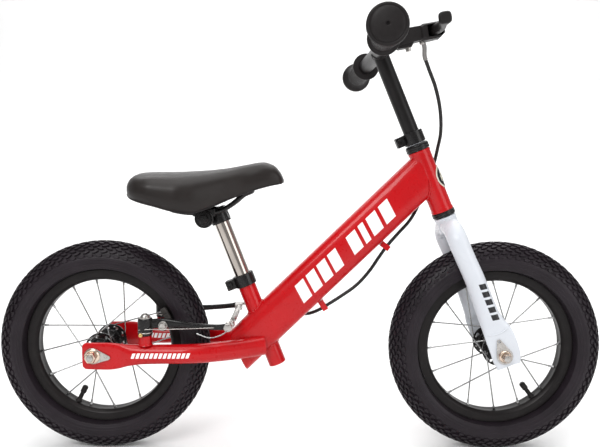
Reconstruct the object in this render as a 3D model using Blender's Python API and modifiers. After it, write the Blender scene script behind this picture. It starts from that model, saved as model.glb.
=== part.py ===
"""Child's balance bike with 12 1/2 inch wheels.

Frame of reference: metres, +X towards the front wheel, +Y to the rider's
left, +Z up.  The origin is on the ground, on the centre plane, half way
between the two axles.
"""
import math

import bmesh
import bpy
from mathutils import Matrix, Vector

# ---------------------------------------------------------------- dimensions
WHEEL_X = 0.2830          # axle to origin, front and rear
TYRE_R = 0.1525           # outer radius of the tyre
TYRE_TUBE_R = 0.0265      # radius of the tyre's own section
RIM_R_IN = 0.0963         # spoke bed of the rim
RIM_R_OUT = 0.1115        # top of the rim's flanges
RIM_HALF_W = 0.0130       # half the rim's width over the brake tracks
HUB_FLANGE_R = 0.0225
HUB_FLANGE_Y = 0.0250     # flange centre from the centre plane
SPOKE_R = 0.0010
SPOKE_HUB_R = 0.0190
FRONT_SPOKE_PHASE = 2.5   # degrees, first rim hole of the right flange
REAR_SPOKE_PHASE = 7.0

HEAD_TILT = math.radians(22.8)      # steering axis from the vertical
HEAD_BOTTOM = Vector((0.2050, 0.0, 0.3490))
HEAD_LEN = 0.0929
HEAD_R = 0.0155
STEERER_R = 0.0127
BAR_R = 0.0111            # 22.2 mm handlebar tube
BAR_T = 0.2430            # crossbar's height along the steering axis
GRIP_END_Y = 0.2123

SEAT_TILT = math.radians(21.16)     # seat post from the vertical
SEAT_BOTTOM = Vector((-0.0320, 0.0, 0.12475))
SEAT_TUBE_LEN = 0.1385
SEAT_TUBE_R = 0.0127
POST_R = 0.0111

BEAM_SLOPE = math.radians(44.15)    # main tube from the horizontal
BEAM_OFFSET = 0.16505     # centre line's distance from the origin
BEAM_H = 0.0290           # half height of the section
BEAM_W = 0.0200           # half width of the section
BEAM_WALL = 0.0018

CABLE_R = 0.0025
GAP = 0.0003              # clearance between neighbouring pieces

SADDLE_PIVOT = Vector((-0.1340, 0.0, 0.3385))
BRAKE_PIVOT = Vector((-0.2120, 0.0535, 0.0))

# ---------------------------------------------------------------- directions
Y = Vector((0, 1, 0))
S_UP = Vector((-math.sin(HEAD_TILT), 0, math.cos(HEAD_TILT)))
S_FWD = Vector((math.cos(HEAD_TILT), 0, math.sin(HEAD_TILT)))
P_UP = Vector((-math.sin(SEAT_TILT), 0, math.cos(SEAT_TILT)))
P_FWD = Vector((math.cos(SEAT_TILT), 0, math.sin(SEAT_TILT)))
B_DIR = Vector((math.cos(BEAM_SLOPE), 0, math.sin(BEAM_SLOPE)))
B_NRM = Vector((-math.sin(BEAM_SLOPE), 0, math.cos(BEAM_SLOPE)))


def S(t, f=0.0, y=0.0):
    """Point by height along the steering axis, distance forward, and side."""
    return HEAD_BOTTOM + S_UP * t + S_FWD * f + Y * y


def P(t, f=0.0, y=0.0):
    """Point by height along the seat post, distance forward, and side."""
    return SEAT_BOTTOM + P_UP * t + P_FWD * f + Y * y


def B(s, h=0.0, y=0.0):
    """Point by distance along the main tube, height off it, and side."""
    return B_NRM * (BEAM_OFFSET + h) + B_DIR * s + Y * y


# ---------------------------------------------------------------- scene
for old in list(bpy.data.objects):
    bpy.data.objects.remove(old, do_unlink=True)
PARTS = bpy.data.collections.new("balance_bike")
CUTTERS = bpy.data.collections.new("cutters")
bpy.context.scene.collection.children.link(PARTS)
bpy.context.scene.collection.children.link(CUTTERS)


def material(name, rgb, rough, metal=0.0):
    m = bpy.data.materials.new(name)
    m.use_nodes = True
    b = m.node_tree.nodes["Principled BSDF"]
    b.inputs["Base Color"].default_value = (*rgb, 1.0)
    b.inputs["Roughness"].default_value = rough
    b.inputs["Metallic"].default_value = metal
    return m


LOOKS = {
    "red": ((0.72, 0.012, 0.025), 0.25, 0.0),
    "white": ((0.85, 0.86, 0.88), 0.28, 0.0),
    "black": ((0.018, 0.017, 0.018), 0.40, 0.0),
    "plastic": ((0.022, 0.020, 0.020), 0.50, 0.0),
    "rubber": ((0.030, 0.026, 0.027), 0.70, 0.0),
    "tyre": ((0.032, 0.028, 0.030), 0.80, 0.0),
    "rim": ((0.020, 0.019, 0.020), 0.40, 0.3),
    "chrome": ((0.75, 0.73, 0.70), 0.12, 1.0),
    "steel": ((0.55, 0.54, 0.52), 0.30, 1.0),
    "saddle": ((0.028, 0.026, 0.027), 0.45, 0.0),
}


def dress(ob, look, smooth=True, angle=35.0):
    rgb, rough, metal = LOOKS[look]
    ob.data.materials.clear()
    ob.data.materials.append(material(ob.name, rgb, rough, metal))
    if smooth and ob.type == "MESH":
        ob.data.shade_smooth()
        ob.data.set_sharp_from_angle(angle=math.radians(angle))
    return ob


def new_object(name, mesh, look=None, cutter=False):
    ob = bpy.data.objects.new(name, mesh)
    (CUTTERS if cutter else PARTS).objects.link(ob)
    if cutter:
        ob.hide_render = True
        ob.display_type = "WIRE"
    elif look:
        dress(ob, look)
    return ob


def to_axis(origin, direction):
    """Matrix that puts local Z on a direction from an origin, local Y on Y."""
    z = direction.normalized()
    x = Y.cross(z) if abs(z.dot(Y)) < 0.9 else Vector((1, 0, 0)) - z * z.x
    x.normalize()
    y = z.cross(x)
    m = Matrix((x, y, z)).transposed().to_4x4()
    m.translation = origin
    return m


def cylinder(name, p0, p1, r, look=None, seg=20, r2=None, cutter=False):
    bm = bmesh.new()
    length = (p1 - p0).length
    bmesh.ops.create_cone(bm, cap_ends=True, segments=seg, radius1=r,
                          radius2=r if r2 is None else r2, depth=length)
    bmesh.ops.translate(bm, vec=(0, 0, length / 2), verts=bm.verts)
    me = bpy.data.meshes.new(name)
    bm.to_mesh(me)
    bm.free()
    ob = new_object(name, me, look, cutter)
    ob.matrix_world = to_axis(p0, p1 - p0)
    return ob


def box(name, matrix, size, look=None, bevel=0.0, cutter=False):
    """A box by its frame and full sizes, with optional rounded edges."""
    bm = bmesh.new()
    bmesh.ops.create_cube(bm, size=1.0)
    bmesh.ops.scale(bm, vec=size, verts=bm.verts)
    me = bpy.data.meshes.new(name)
    bm.to_mesh(me)
    bm.free()
    ob = new_object(name, me, look, cutter)
    ob.matrix_world = matrix
    if bevel:
        b = ob.modifiers.new("edges", "BEVEL")
        b.width = bevel
        b.segments = 2
        b.limit_method = "ANGLE"
    return ob


def frame_at(origin, x_axis, z_axis):
    x = x_axis.normalized()
    z = z_axis.normalized()
    m = Matrix((x, z.cross(x), z)).transposed().to_4x4()
    m.translation = origin
    return m


def turned(name, profile, origin, direction, look=None, seg=24, cutter=False):
    """Turn a closed (radius, height) outline about an axis."""
    area = 0.0
    n = len(profile)
    for i in range(n):
        a, b = profile[i], profile[(i + 1) % n]
        area += a[0] * b[1] - b[0] * a[1]
    pts = list(profile) if area < 0 else list(reversed(profile))
    me = bpy.data.meshes.new(name)
    me.from_pydata([(r, 0.0, z) for r, z in pts],
                   [(i, (i + 1) % n) for i in range(n)
                    if pts[i][0] > 0 or pts[(i + 1) % n][0] > 0], [])
    ob = new_object(name, me, look, cutter)
    ob.matrix_world = to_axis(origin, direction)
    s = ob.modifiers.new("turn", "SCREW")
    s.axis = "Z"
    s.angle = math.tau
    s.steps = s.render_steps = seg
    s.use_merge_vertices = True
    s.merge_threshold = 0.00001
    s.use_smooth_shade = True
    return ob


def tube(name, p0, p1, ro, ri, look=None, seg=24):
    h = (p1 - p0).length
    return turned(name, [(ri, 0), (ro, 0), (ro, h), (ri, h)], p0, p1 - p0,
                  look, seg)


def oval(n, power):
    out = []
    for i in range(n):
        a = math.tau * i / n
        c, s = math.cos(a), math.sin(a)
        out.append((math.copysign(abs(c) ** (2 / power), c),
                    math.copysign(abs(s) ** (2 / power), s)))
    return out


def skin(name, rings, look=None, inner=None, inner_open_end=False,
         cutter=False):
    """Loft a closed solid through rings of points; inner rings hollow it."""
    verts, faces = [], []
    n = len(rings[0])
    for ring in rings:
        verts += [tuple(p) for p in ring]
    for k in range(len(rings) - 1):
        for i in range(n):
            j = (i + 1) % n
            faces.append((k * n + i, k * n + j, (k + 1) * n + j, (k + 1) * n + i))
    last = (len(rings) - 1) * n
    if not inner:
        faces.append(tuple(reversed(range(n))))
        faces.append(tuple(range(last, last + n)))
    else:
        base = len(verts)
        for ring in inner:
            verts += [tuple(p) for p in ring]
        for k in range(len(inner) - 1):
            for i in range(n):
                j = (i + 1) % n
                a, b = base + k * n, base + (k + 1) * n
                faces.append((a + j, a + i, b + i, b + j))
        for i in range(n):
            j = (i + 1) % n
            faces.append((j, i, base + i, base + j))
        end = base + (len(inner) - 1) * n
        if inner_open_end:
            for i in range(n):
                j = (i + 1) % n
                faces.append((last + i, last + j, end + j, end + i))
        else:
            faces.append(tuple(range(last, last + n)))
            faces.append(tuple(reversed(range(end, end + n))))
    me = bpy.data.meshes.new(name)
    me.from_pydata(verts, [], faces)
    bm = bmesh.new()
    bm.from_mesh(me)
    bmesh.ops.recalc_face_normals(bm, faces=bm.faces)
    if bm.calc_volume(signed=True) < 0:
        bmesh.ops.reverse_faces(bm, faces=bm.faces)
    bm.to_mesh(me)
    bm.free()
    return new_object(name, me, look, cutter)


def sweep_rings(stations, side, n=14, power=2.0, shrink=0.0, tangents=None):
    """Rings across a path: (point, half size on side, half size across)."""
    rings = []
    pts = [s[0] for s in stations]
    for k, st in enumerate(stations):
        a, b = pts[max(0, k - 1)], pts[min(len(pts) - 1, k + 1)]
        t = (b - a).normalized()
        if tangents and k in tangents:
            t = tangents[k].normalized()
        s = (side - t * side.dot(t)).normalized()
        c = t.cross(s)
        pw = st[3] if len(st) > 3 else power
        rings.append([st[0] + s * (st[1] - shrink) * u + c * (st[2] - shrink) * v
                      for u, v in oval(n, pw)])
    return rings


def smooth_path(points, per=4):
    """Catmull-Rom curve through the given points."""
    out = []
    n = len(points)
    for i in range(n - 1):
        p0 = points[max(0, i - 1)]
        p1, p2 = points[i], points[i + 1]
        p3 = points[min(n - 1, i + 2)]
        for k in range(per):
            t = k / per
            out.append(0.5 * ((2 * p1) + (p2 - p0) * t
                              + (2 * p0 - 5 * p1 + 4 * p2 - p3) * t * t
                              + (3 * p1 - p0 - 3 * p2 + p3) * t ** 3))
    out.append(points[-1].copy())
    return out


def wire(name, points, r, look, res=2):
    """Round wire along a path."""
    cu = bpy.data.curves.new(name, "CURVE")
    cu.dimensions = "3D"
    cu.bevel_depth = r
    cu.bevel_resolution = res
    cu.use_fill_caps = True
    sp = cu.splines.new("POLY")
    sp.points.add(len(points) - 1)
    for q, p in zip(sp.points, points):
        q.co = (*p, 1.0)
    ob = bpy.data.objects.new(name, cu)
    PARTS.objects.link(ob)
    dress(ob, look, smooth=False)
    return ob


def boolean(ob, tool, op="DIFFERENCE", solver="EXACT"):
    m = ob.modifiers.new(op.lower(), "BOOLEAN")
    m.operation = op
    m.solver = solver
    m.object = tool
    return ob


# ---------------------------------------------------------------- main frame
def beam_ring(s0, shear, hw, hh, n=20, power=3.0):
    return [B(s0 + shear * v * hh, v * hh, u * hw) for u, v in oval(n, power)]


BEAM_STATIONS = [  # distance, shear with height, half width
    (0.0377, 0.372, BEAM_W), (0.2600, 0.0, BEAM_W), (0.3400, 0.15, 0.0190),
    (0.3800, 0.30, 0.0168), (0.4087, 0.391, 0.0150)]


def beam(name, grow, look=None, hollow=False, cutter=False):
    outer = [beam_ring(s, k, w + grow, BEAM_H + grow)
             for s, k, w in BEAM_STATIONS]
    inner = None
    if hollow:
        st = [(0.0400, 0.372, BEAM_W)] + BEAM_STATIONS[1:]
        # the inner skin runs from the head end back to the closed rear end
        inner = [beam_ring(s, k, w - BEAM_WALL, BEAM_H - BEAM_WALL)
                 for s, k, w in reversed(st)]
        outer = list(reversed(outer))
    return skin(name, outer, look, inner=inner, cutter=cutter)


main_tube = beam("main_tube", 0.0, "red", hollow=True)
boolean(main_tube, cylinder("cut_head", S(-0.03), S(0.13), HEAD_R + GAP + 0.0002,
                            seg=24, cutter=True))
boolean(main_tube, cylinder("cut_seat", P(-0.03), P(0.20), SEAT_TUBE_R + GAP + 0.0002,
                            seg=24, cutter=True))

tube("head_tube", S(0), S(HEAD_LEN), HEAD_R, 0.0136, "red", 24)
tube("seat_tube", P(0), P(SEAT_TUBE_LEN), SEAT_TUBE_R, 0.0115, "red", 24)
tube("headset_upper", S(HEAD_LEN + GAP), S(0.1032), 0.0168, 0.0132, "black", 20)
tube("headset_lower", S(-0.0072), S(-GAP), 0.0167, 0.0132, "black", 20)

# chain stays: round where they meet the main tube, pressed flat at the axle
STAY = [(-0.2975, 0.0595, 0.1517, 0.0150, 0.0025, 2.6),
        (-0.2930, 0.0595, 0.1517, 0.0186, 0.0025, 2.8),
        (-0.2620, 0.0595, 0.1515, 0.0190, 0.0025, 2.8),
        (-0.2500, 0.0590, 0.1517, 0.0178, 0.0032, 2.6),
        (-0.2360, 0.0560, 0.1520, 0.0152, 0.0080, 2.2),
        (-0.2150, 0.0525, 0.1523, 0.0138, 0.0108, 2.0),
        (-0.1650, 0.0515, 0.1527, 0.0134, 0.0112, 2.0),
        (-0.1350, 0.0475, 0.1528, 0.0135, 0.0112, 2.0),
        (-0.1050, 0.0375, 0.1530, 0.0138, 0.0112, 2.0),
        (-0.0760, 0.0268, 0.1540, 0.0139, 0.0110, 2.0),
        (-0.0500, 0.0180, 0.1560, 0.0138, 0.0108, 2.0)]
for side, sgn in (("right", -1), ("left", 1)):
    st = [(Vector((x, sgn * y, z)), a, b, p) for x, y, z, a, b, p in STAY]
    stay = skin("chainstay_" + side, sweep_rings(st, Vector((0, 0, 1)), 14),
                "red")
    boolean(stay, beam("cut_beam_" + side, GAP, cutter=True))
    boolean(stay, cylinder("cut_axle_" + side, Vector((-WHEEL_X, sgn * 0.03, TYRE_R)),
                           Vector((-WHEEL_X, sgn * 0.09, TYRE_R)), 0.0052,
                           seg=16, cutter=True))
    # brake boss: welded post, pivot stud and its bolt, all on a vertical axis
    px, py = BRAKE_PIVOT.x, sgn * BRAKE_PIVOT.y
    turned("brake_boss_" + side,
           [(0, 0.1669), (0.0088, 0.1669), (0.0088, 0.1798), (0.0044, 0.1798),
            (0.0044, 0.2050), (0.0062, 0.2050), (0.0062, 0.2085),
            (0.0045, 0.2100), (0, 0.2100)],
           Vector((px, py, 0)), Vector((0, 0, 1)), "red", 20)

# seat clamp collar with its pinch bolt behind
def clamp(name, at, t0, t1, ro, ri, lug, lug_t0, lug_t1, up, fwd):
    ring = tube(name, at(t0), at(t1), ro, ri, "black", 20)
    # the pinch lug is a small block behind the ring, opened by the tube's bore
    mid = at((lug_t0 + lug_t1) / 2, -(ri + 0.0010 + lug) / 2)
    block = box(name + "_lug", frame_at(mid, fwd, up),
                (lug - ri - 0.0010, 0.0140, lug_t1 - lug_t0), bevel=0.0,
                cutter=True)
    boolean(ring, block, "UNION")
    hole_at = at((lug_t0 + lug_t1) / 2, -lug + 0.0055)
    boolean(ring, cylinder(name + "_hole", hole_at - Y * 0.02, hole_at + Y * 0.02,
                           0.0029, seg=12, cutter=True))
    bolt = turned(name + "_bolt",
                  [(0, -0.0105), (0.0042, -0.0105), (0.0045, -0.0073),
                   (0.0025, -0.0073), (0.0025, 0.0073), (0.0042, 0.0073),
                   (0.0042, 0.0100), (0, 0.0100)], hole_at, Y, "steel", 12)
    return ring, bolt


clamp("seat_clamp", P, 0.1240, 0.1410, 0.0155, 0.0131, 0.0276, 0.1250, 0.1395,
      P_UP, P_FWD)
clamp("bar_clamp", S, 0.1042, 0.1213, 0.0152, 0.0131, 0.0262, 0.1065, 0.1210,
      S_UP, S_FWD)

# badge plate on the front of the head tube
badge = turned("head_badge",
               [(HEAD_R + 0.0003, 0.0300), (HEAD_R + 0.0014, 0.0300),
                (HEAD_R + 0.0014, 0.0640), (HEAD_R + 0.0003, 0.0640)],
               S(0), S_UP, "black", 32)
keep = box("badge_window", frame_at(S(0.047, HEAD_R), S_FWD, S_UP),
           (0.0150, 0.0225, 0.0300), cutter=True)
boolean(badge, keep, "INTERSECT")

# axle hardware: a shaft, then a flanged nut on its keyed washer on each side
def axle(name, x, reach):
    return cylinder(name, Vector((x, -reach, TYRE_R)), Vector((x, reach, TYRE_R)),
                    0.0047, "steel", 16)


def nut(name, x, sgn, y_face, tab_dir):
    """Hexagon nut with a round flange and a teardrop washer under it."""
    o = Vector((x, 0, TYRE_R))
    ob = turned(name, [(0.0050, y_face), (0.0115, y_face), (0.0115, y_face + 0.0018),
                       (0.0092, y_face + 0.0018), (0.0086, y_face + 0.0040),
                       (0.0072, y_face + 0.0043), (0.0072, y_face + 0.0115),
                       (0.0062, y_face + 0.0125), (0.0050, y_face + 0.0125)],
                o, Y * sgn, "steel", 12)
    tab = Vector(tab_dir).normalized()
    p = o + Y * sgn * (y_face + 0.0009)
    blade = box(name + "_tab", frame_at(p + tab * 0.0125, tab, Y * sgn),
                (0.0115, 0.0080, 0.0016), cutter=True)
    boolean(ob, blade, "UNION")
    return ob


axle("rear_axle", -WHEEL_X, 0.0760)
axle("front_axle", WHEEL_X, 0.0695)
for side, sgn in (("right", -1), ("left", 1)):
    nut("rear_nut_" + side, -WHEEL_X, sgn, 0.0624, (1.0, 0, -0.22))
    nut("front_nut_" + side, WHEEL_X, sgn, 0.0556, (-0.38, 0, 0.92))

# ---------------------------------------------------------------- fork
tube("fork_steerer", S(-0.0077), S(0.1206), STEERER_R, 0.0117, "white", 20)
CROWN = [(-0.0475, -0.0032, -0.0445), (-0.0420, -0.0030, -0.0440),
         (-0.0330, -0.0022, -0.0390), (-0.0255, -0.0012, -0.0270),
         (-0.0222, -0.0006, -0.0120), (-0.0215, -0.0005, 0.0)]
half = [(S(t, f, y), 0.0137, 0.0116) for t, f, y in CROWN]
full = half + [(S(t, f, -y), 0.0137, 0.0116) for t, f, y in reversed(CROWN[:-1])]
crown = skin("fork_crown", sweep_rings(full, S_FWD, 12, tangents={
    0: S_UP, len(full) - 1: -S_UP}), "white")
boolean(crown, turned("crown_boss", [(0, -0.0320), (0.0150, -0.0280),
                                     (0.0156, -0.0140), (0.0160, -0.0080),
                                     (0, -0.0080)], S(0), S_UP, seg=20,
                      cutter=True), "UNION")
LEG = [(-0.0478, -0.0032, 0.0445, 0.0137, 0.0116, 2.0),
       (-0.0650, -0.0028, 0.0445, 0.0136, 0.0115, 2.0),
       (-0.1000, -0.0015, 0.0445, 0.0138, 0.0112, 2.0),
       (-0.1500, -0.0024, 0.0452, 0.0150, 0.0102, 2.1),
       (-0.1680, -0.0014, 0.0475, 0.0172, 0.0076, 2.3),
       (-0.1800, -0.0005, 0.0518, 0.0195, 0.0034, 2.6),
       (-0.1900, -0.0003, 0.0526, 0.0200, 0.0026, 2.8),
       (-0.2050, -0.0008, 0.0526, 0.0200, 0.0026, 2.8),
       (-0.2190, -0.0027, 0.0526, 0.0190, 0.0026, 2.8),
       (-0.2270, -0.0045, 0.0526, 0.0155, 0.0026, 2.6)]
for side, sgn in (("right", -1), ("left", 1)):
    st = [(S(t, f, sgn * y), a, b, p) for t, f, y, a, b, p in LEG]
    ends = {0: -S_UP, len(st) - 1: -S_UP}
    rings = sweep_rings(st, S_FWD, 12, tangents=ends)
    bore = sweep_rings(st[:4], S_FWD, 12, shrink=0.0018, tangents={0: -S_UP})
    leg = skin("fork_leg_" + side, rings, "white", inner=bore)
    boolean(leg, cylinder("cut_fork_" + side, Vector((WHEEL_X, sgn * 0.04, TYRE_R)),
                          Vector((WHEEL_X, sgn * 0.08, TYRE_R)), 0.0052, seg=16,
                          cutter=True))

# ---------------------------------------------------------------- handlebar
def bar_point(y):
    """Centre of the crossbar: swept back and slightly down to its ends."""
    s = (math.sqrt(y * y + 0.0004) - 0.02) / 0.1932
    c = S(BAR_T)
    return Vector((c.x - 0.0158 * s, y, c.z - 0.0083 * s))


BAR_END = 0.2050
ys = [-BAR_END, -0.070, -0.030, 0.0, 0.030, 0.070, BAR_END]
bar_st = [(bar_point(y), BAR_R, BAR_R) for y in ys]
skin("handlebar_crossbar", sweep_rings(bar_st, Vector((0, 0, 1)), 14), "black",
     inner=sweep_rings(bar_st, Vector((0, 0, 1)), 14, shrink=0.0016),
     inner_open_end=True)
riser = tube("handlebar_riser", S(0.0450), S(BAR_T), BAR_R, 0.0095, "black", 20)
boolean(riser, cylinder("cut_bar", bar_point(0) - Y * 0.03, bar_point(0) + Y * 0.03,
                        BAR_R + 0.0006, seg=20, cutter=True))

GRIP = [(0.0117, 0.0), (0.0208, 0.0), (0.0208, 0.0036), (0.0158, 0.0068),
        (0.0156, 0.0800), (0.0205, 0.0900), (0.0237, 0.0935), (0.0237, 0.0990),
        (0.0215, 0.1030), (0.0120, 0.1048), (0.0, 0.1048), (0.0, 0.0985),
        (0.0117, 0.0985)]
for side, sgn in (("right", -1), ("left", 1)):
    a, b = bar_point(sgn * 0.1075), bar_point(sgn * GRIP_END_Y)
    turned("grip_" + side, GRIP, a, b - a, "rubber", 20)

# brake lever on the right: everything is set out from the bar's centre there
L_FWD = Vector((math.cos(math.radians(9.8)), 0, math.sin(math.radians(9.8))))
L_UP = Vector((-L_FWD.z, 0, L_FWD.x))
L_O = bar_point(-0.0960)


def L(a, y, h=0.0):
    """Point by distance forward of the bar, side, and height."""
    return Vector((L_O.x, y, L_O.z)) + L_FWD * a + L_UP * h


LEVER_PIVOT = L(0.0640, -0.0950)
perch = tube("lever_perch", bar_point(-0.1055), bar_point(-0.0875), 0.0158,
             BAR_R + 0.0008, "plastic", 18)
boolean(perch, box("perch_neck", frame_at(L(0.0320, -0.0965), L_FWD, L_UP),
                   (0.0380, 0.0150, 0.0145), cutter=True), "UNION")
boolean(perch, box("perch_body", frame_at(L(0.0605, -0.0960), L_FWD, L_UP),
                   (0.0290, 0.0240, 0.0200), bevel=0.0040, cutter=True), "UNION")
boolean(perch, cylinder("perch_barrel", L(0.0540, -0.0860), L(0.0540, -0.0700),
                        0.0048, seg=16, cutter=True), "UNION")
boolean(perch, box("perch_slot", frame_at(L(0.0625, -0.0985), L_FWD, L_UP),
                   (0.0190, 0.0230, 0.0142), cutter=True))
boolean(perch, cylinder("perch_pin", LEVER_PIVOT - L_UP * 0.0085,
                        LEVER_PIVOT + L_UP * 0.0085, 0.0024, seg=12,
                        cutter=True), "UNION")

BLADE = [(0.0640, -0.0900, 0.0048, 0.0062), (0.0640, -0.1000, 0.0050, 0.0064),
         (0.0655, -0.1130, 0.0048, 0.0064), (0.0668, -0.1240, 0.0044, 0.0064),
         (0.0655, -0.1400, 0.0042, 0.0064), (0.0625, -0.1560, 0.0048, 0.0068),
         (0.0615, -0.1660, 0.0066, 0.0072), (0.0612, -0.1715, 0.0076, 0.0072),
         (0.0612, -0.1745, 0.0062, 0.0060)]
st = [(L(a, y), hb, wb) for a, y, wb, hb in BLADE]
blade = skin("brake_lever", sweep_rings(st, L_UP, 16, power=3.0), "plastic")
boolean(blade, cylinder("blade_hole", LEVER_PIVOT - L_UP * 0.012,
                        LEVER_PIVOT + L_UP * 0.012, 0.0029, seg=16, cutter=True))

# ---------------------------------------------------------------- wheels
def wheel(name, x, phase, valve_angle):
    o = Vector((x, 0, TYRE_R))
    c = TYRE_R - TYRE_TUBE_R
    # section of the tyre: round tread and sides, drawn in to the rim's width,
    # with its beads inside the rim's flanges
    half = [(c + TYRE_TUBE_R * math.cos(math.radians(d)),
             TYRE_TUBE_R * math.sin(math.radians(d)))
            for d in (22, 44, 66, 90, 117)]
    half += [(0.1122, 0.0138), (0.1120, 0.0105), (0.1015, 0.0079),
             (0.1015, 0.0055), (0.1150, 0.0068)]
    half += [(c + (TYRE_TUBE_R - 0.0034) * math.cos(math.radians(d)),
              (TYRE_TUBE_R - 0.0034) * math.sin(math.radians(d)))
             for d in (108, 55)]
    crown = [(TYRE_R, 0.0)]
    inside = [(TYRE_R - 0.0040, 0.0)]
    prof = crown + half + inside + [(r, -z) for r, z in reversed(half)]
    turned(name + "_tyre", prof, o, Y, "tyre", 32)
    rim_w, w = RIM_HALF_W, 0.0088
    lip = [(RIM_R_IN, -w), (RIM_R_IN + 0.0045, -rim_w), (RIM_R_OUT, -rim_w),
           (RIM_R_OUT, -rim_w + 0.0018), (0.0990, -w + 0.0010),
           (0.0990, w - 0.0010), (RIM_R_OUT, rim_w - 0.0018),
           (RIM_R_OUT, rim_w), (RIM_R_IN + 0.0045, rim_w), (RIM_R_IN, w)]
    turned(name + "_rim", lip, o, Y, "rim", 32)
    f0, f1 = HUB_FLANGE_Y - 0.0013, HUB_FLANGE_Y + 0.0013
    e = 0.0480 if name == "front" else 0.0545
    hub = []
    right = [(0.0052, e), (0.0085, e), (0.0125, e - 0.008),
             (0.0140, f1), (HUB_FLANGE_R, f1),
             (HUB_FLANGE_R, f0), (0.0130, f0 - 0.003)]
    hub = right + [(r, -z) for r, z in reversed(right)]
    turned(name + "_hub", hub, o, Y, "rim", 16)
    for side, sgn in (("right", -1), ("left", 1)):
        ph = phase if sgn < 0 else phase + 22.5
        parts = []
        for k in range(8):
            rim_a = ph + 45.0 * k
            turn = -90.0 if k % 2 == 0 else 90.0
            if sgn > 0:
                turn = -turn
            hub_a = math.radians(rim_a + turn)
            ra = math.radians(rim_a)
            y0 = sgn * (f1 + SPOKE_R + GAP + (0.0005 if k % 2 else 0.0))
            lay = 0.0005 if k % 2 else 0.0
            p0 = Vector((math.cos(hub_a), 0, math.sin(hub_a))) * SPOKE_HUB_R
            p2 = Vector((math.cos(ra), 0, math.sin(ra))) * (RIM_R_IN - 0.0014)
            # the spoke lies flat on the flange as far as its edge
            u = 0.0
            while (p0.lerp(p2, u)).length < HUB_FLANGE_R + 0.0022:
                u += 0.002
            p1 = p0.lerp(p2, u)
            parts.append([(o + p0 + Y * y0, SPOKE_R, SPOKE_R),
                          (o + p1 + Y * y0, SPOKE_R, SPOKE_R),
                          (o + p2 + Y * sgn * (0.0025 + lay), SPOKE_R, SPOKE_R)])
        label = name + "_spokes_" + side
        first = skin(label, sweep_rings(parts[0], Y, 5), "steel")
        for i, st in enumerate(parts[1:]):
            boolean(first, skin(label + "_%d" % i, sweep_rings(st, Y, 5),
                                cutter=True), "UNION", "MANIFOLD")
    va = math.radians(valve_angle)
    d = Vector((math.cos(va), 0, math.sin(va)))
    turned(name + "_valve", [(0, 0), (0.0043, 0), (0.0043, 0.0100), (0.0032, 0.0110),
                             (0.0032, 0.0240), (0, 0.0240)],
           o + d * (RIM_R_IN - 0.0246), d, "rubber", 12)


wheel("front", WHEEL_X, FRONT_SPOKE_PHASE, -52.5)
wheel("rear", -WHEEL_X, REAR_SPOKE_PHASE, -116.5)

# ---------------------------------------------------------------- seat post
tube("seat_post", P(0.0450), P(0.2430), POST_R, 0.0096, "chrome", 20)
head = tube("saddle_clamp", P(0.2215), P(0.2460), 0.0142, 0.0116, "black", 18)
core = cylinder("clamp_core", SADDLE_PIVOT - Y * 0.0150, SADDLE_PIVOT + Y * 0.0150,
                0.0112, seg=18, cutter=True)
boolean(head, core, "UNION")
boolean(head, cylinder("clamp_bore", P(0.21), P(0.2440), 0.0120, seg=18,
                       cutter=True))
boolean(head, cylinder("clamp_bolt_bore", SADDLE_PIVOT - Y * 0.03,
                       SADDLE_PIVOT + Y * 0.03, 0.0044, seg=16, cutter=True))
turned("saddle_clamp_bolt", [(0, -0.0345), (0.0070, -0.0345), (0.0070, -0.0288),
                             (0.0040, -0.0288), (0.0040, 0.0288), (0.0070, 0.0288),
                             (0.0070, 0.0345), (0, 0.0345)],
       SADDLE_PIVOT, Y, "steel", 16)

# ---------------------------------------------------------------- saddle
#  x, top, half width, skirt bottom, underside at the middle
SADDLE = [(-0.2390, 0.3880, 0.0330, 0.3760, 0.3810),
          (-0.2335, 0.3975, 0.0480, 0.3690, 0.3760),
          (-0.2200, 0.4030, 0.0610, 0.3640, 0.3735),
          (-0.1980, 0.4038, 0.0680, 0.3585, 0.3725),
          (-0.1700, 0.4042, 0.0680, 0.3510, 0.3720),
          (-0.1480, 0.4052, 0.0625, 0.3482, 0.3725),
          (-0.1250, 0.4068, 0.0520, 0.3540, 0.3740),
          (-0.1000, 0.4098, 0.0400, 0.3650, 0.3790),
          (-0.0750, 0.4145, 0.0310, 0.3745, 0.3850),
          (-0.0520, 0.4180, 0.0270, 0.3820, 0.3900),
          (-0.0380, 0.4140, 0.0235, 0.3855, 0.3920),
          (-0.0280, 0.4040, 0.0185, 0.3875, 0.3920),
          (-0.0235, 0.3950, 0.0110, 0.3885, 0.3905)]


def saddle_ring(x, zt, w, zs, zm, n=10):
    """Half outline from the crown round the side to the middle underneath."""
    hgt = zt - zs
    half = [(0.0, zt), (0.35 * w, zt - 0.02 * hgt), (0.66 * w, zt - 0.09 * hgt),
            (0.88 * w, zt - 0.24 * hgt), (0.985 * w, zt - 0.45 * hgt),
            (w, zt - 0.70 * hgt), (0.95 * w, zs + 0.06 * hgt), (0.90 * w, zs),
            (0.82 * w, zs + 0.12 * (zm - zs)), (0.70 * w, zm), (0.0, zm)]
    ring = [Vector((x, y, z)) for y, z in half]
    ring += [Vector((x, -y, z)) for y, z in reversed(half[1:-1])]
    return ring


skin("saddle_cover", [saddle_ring(*s) for s in SADDLE], "saddle")


def base_ring(x, zt, w, zs, zm):
    top, low = zm - GAP, zm - 0.0040
    half = [(0.0, top), (0.66 * w, top), (0.66 * w, low), (0.0, low)]
    ring = [Vector((x, y, z)) for y, z in half]
    ring += [Vector((x, -y, z)) for y, z in (half[2], half[1])]
    return ring


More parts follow.
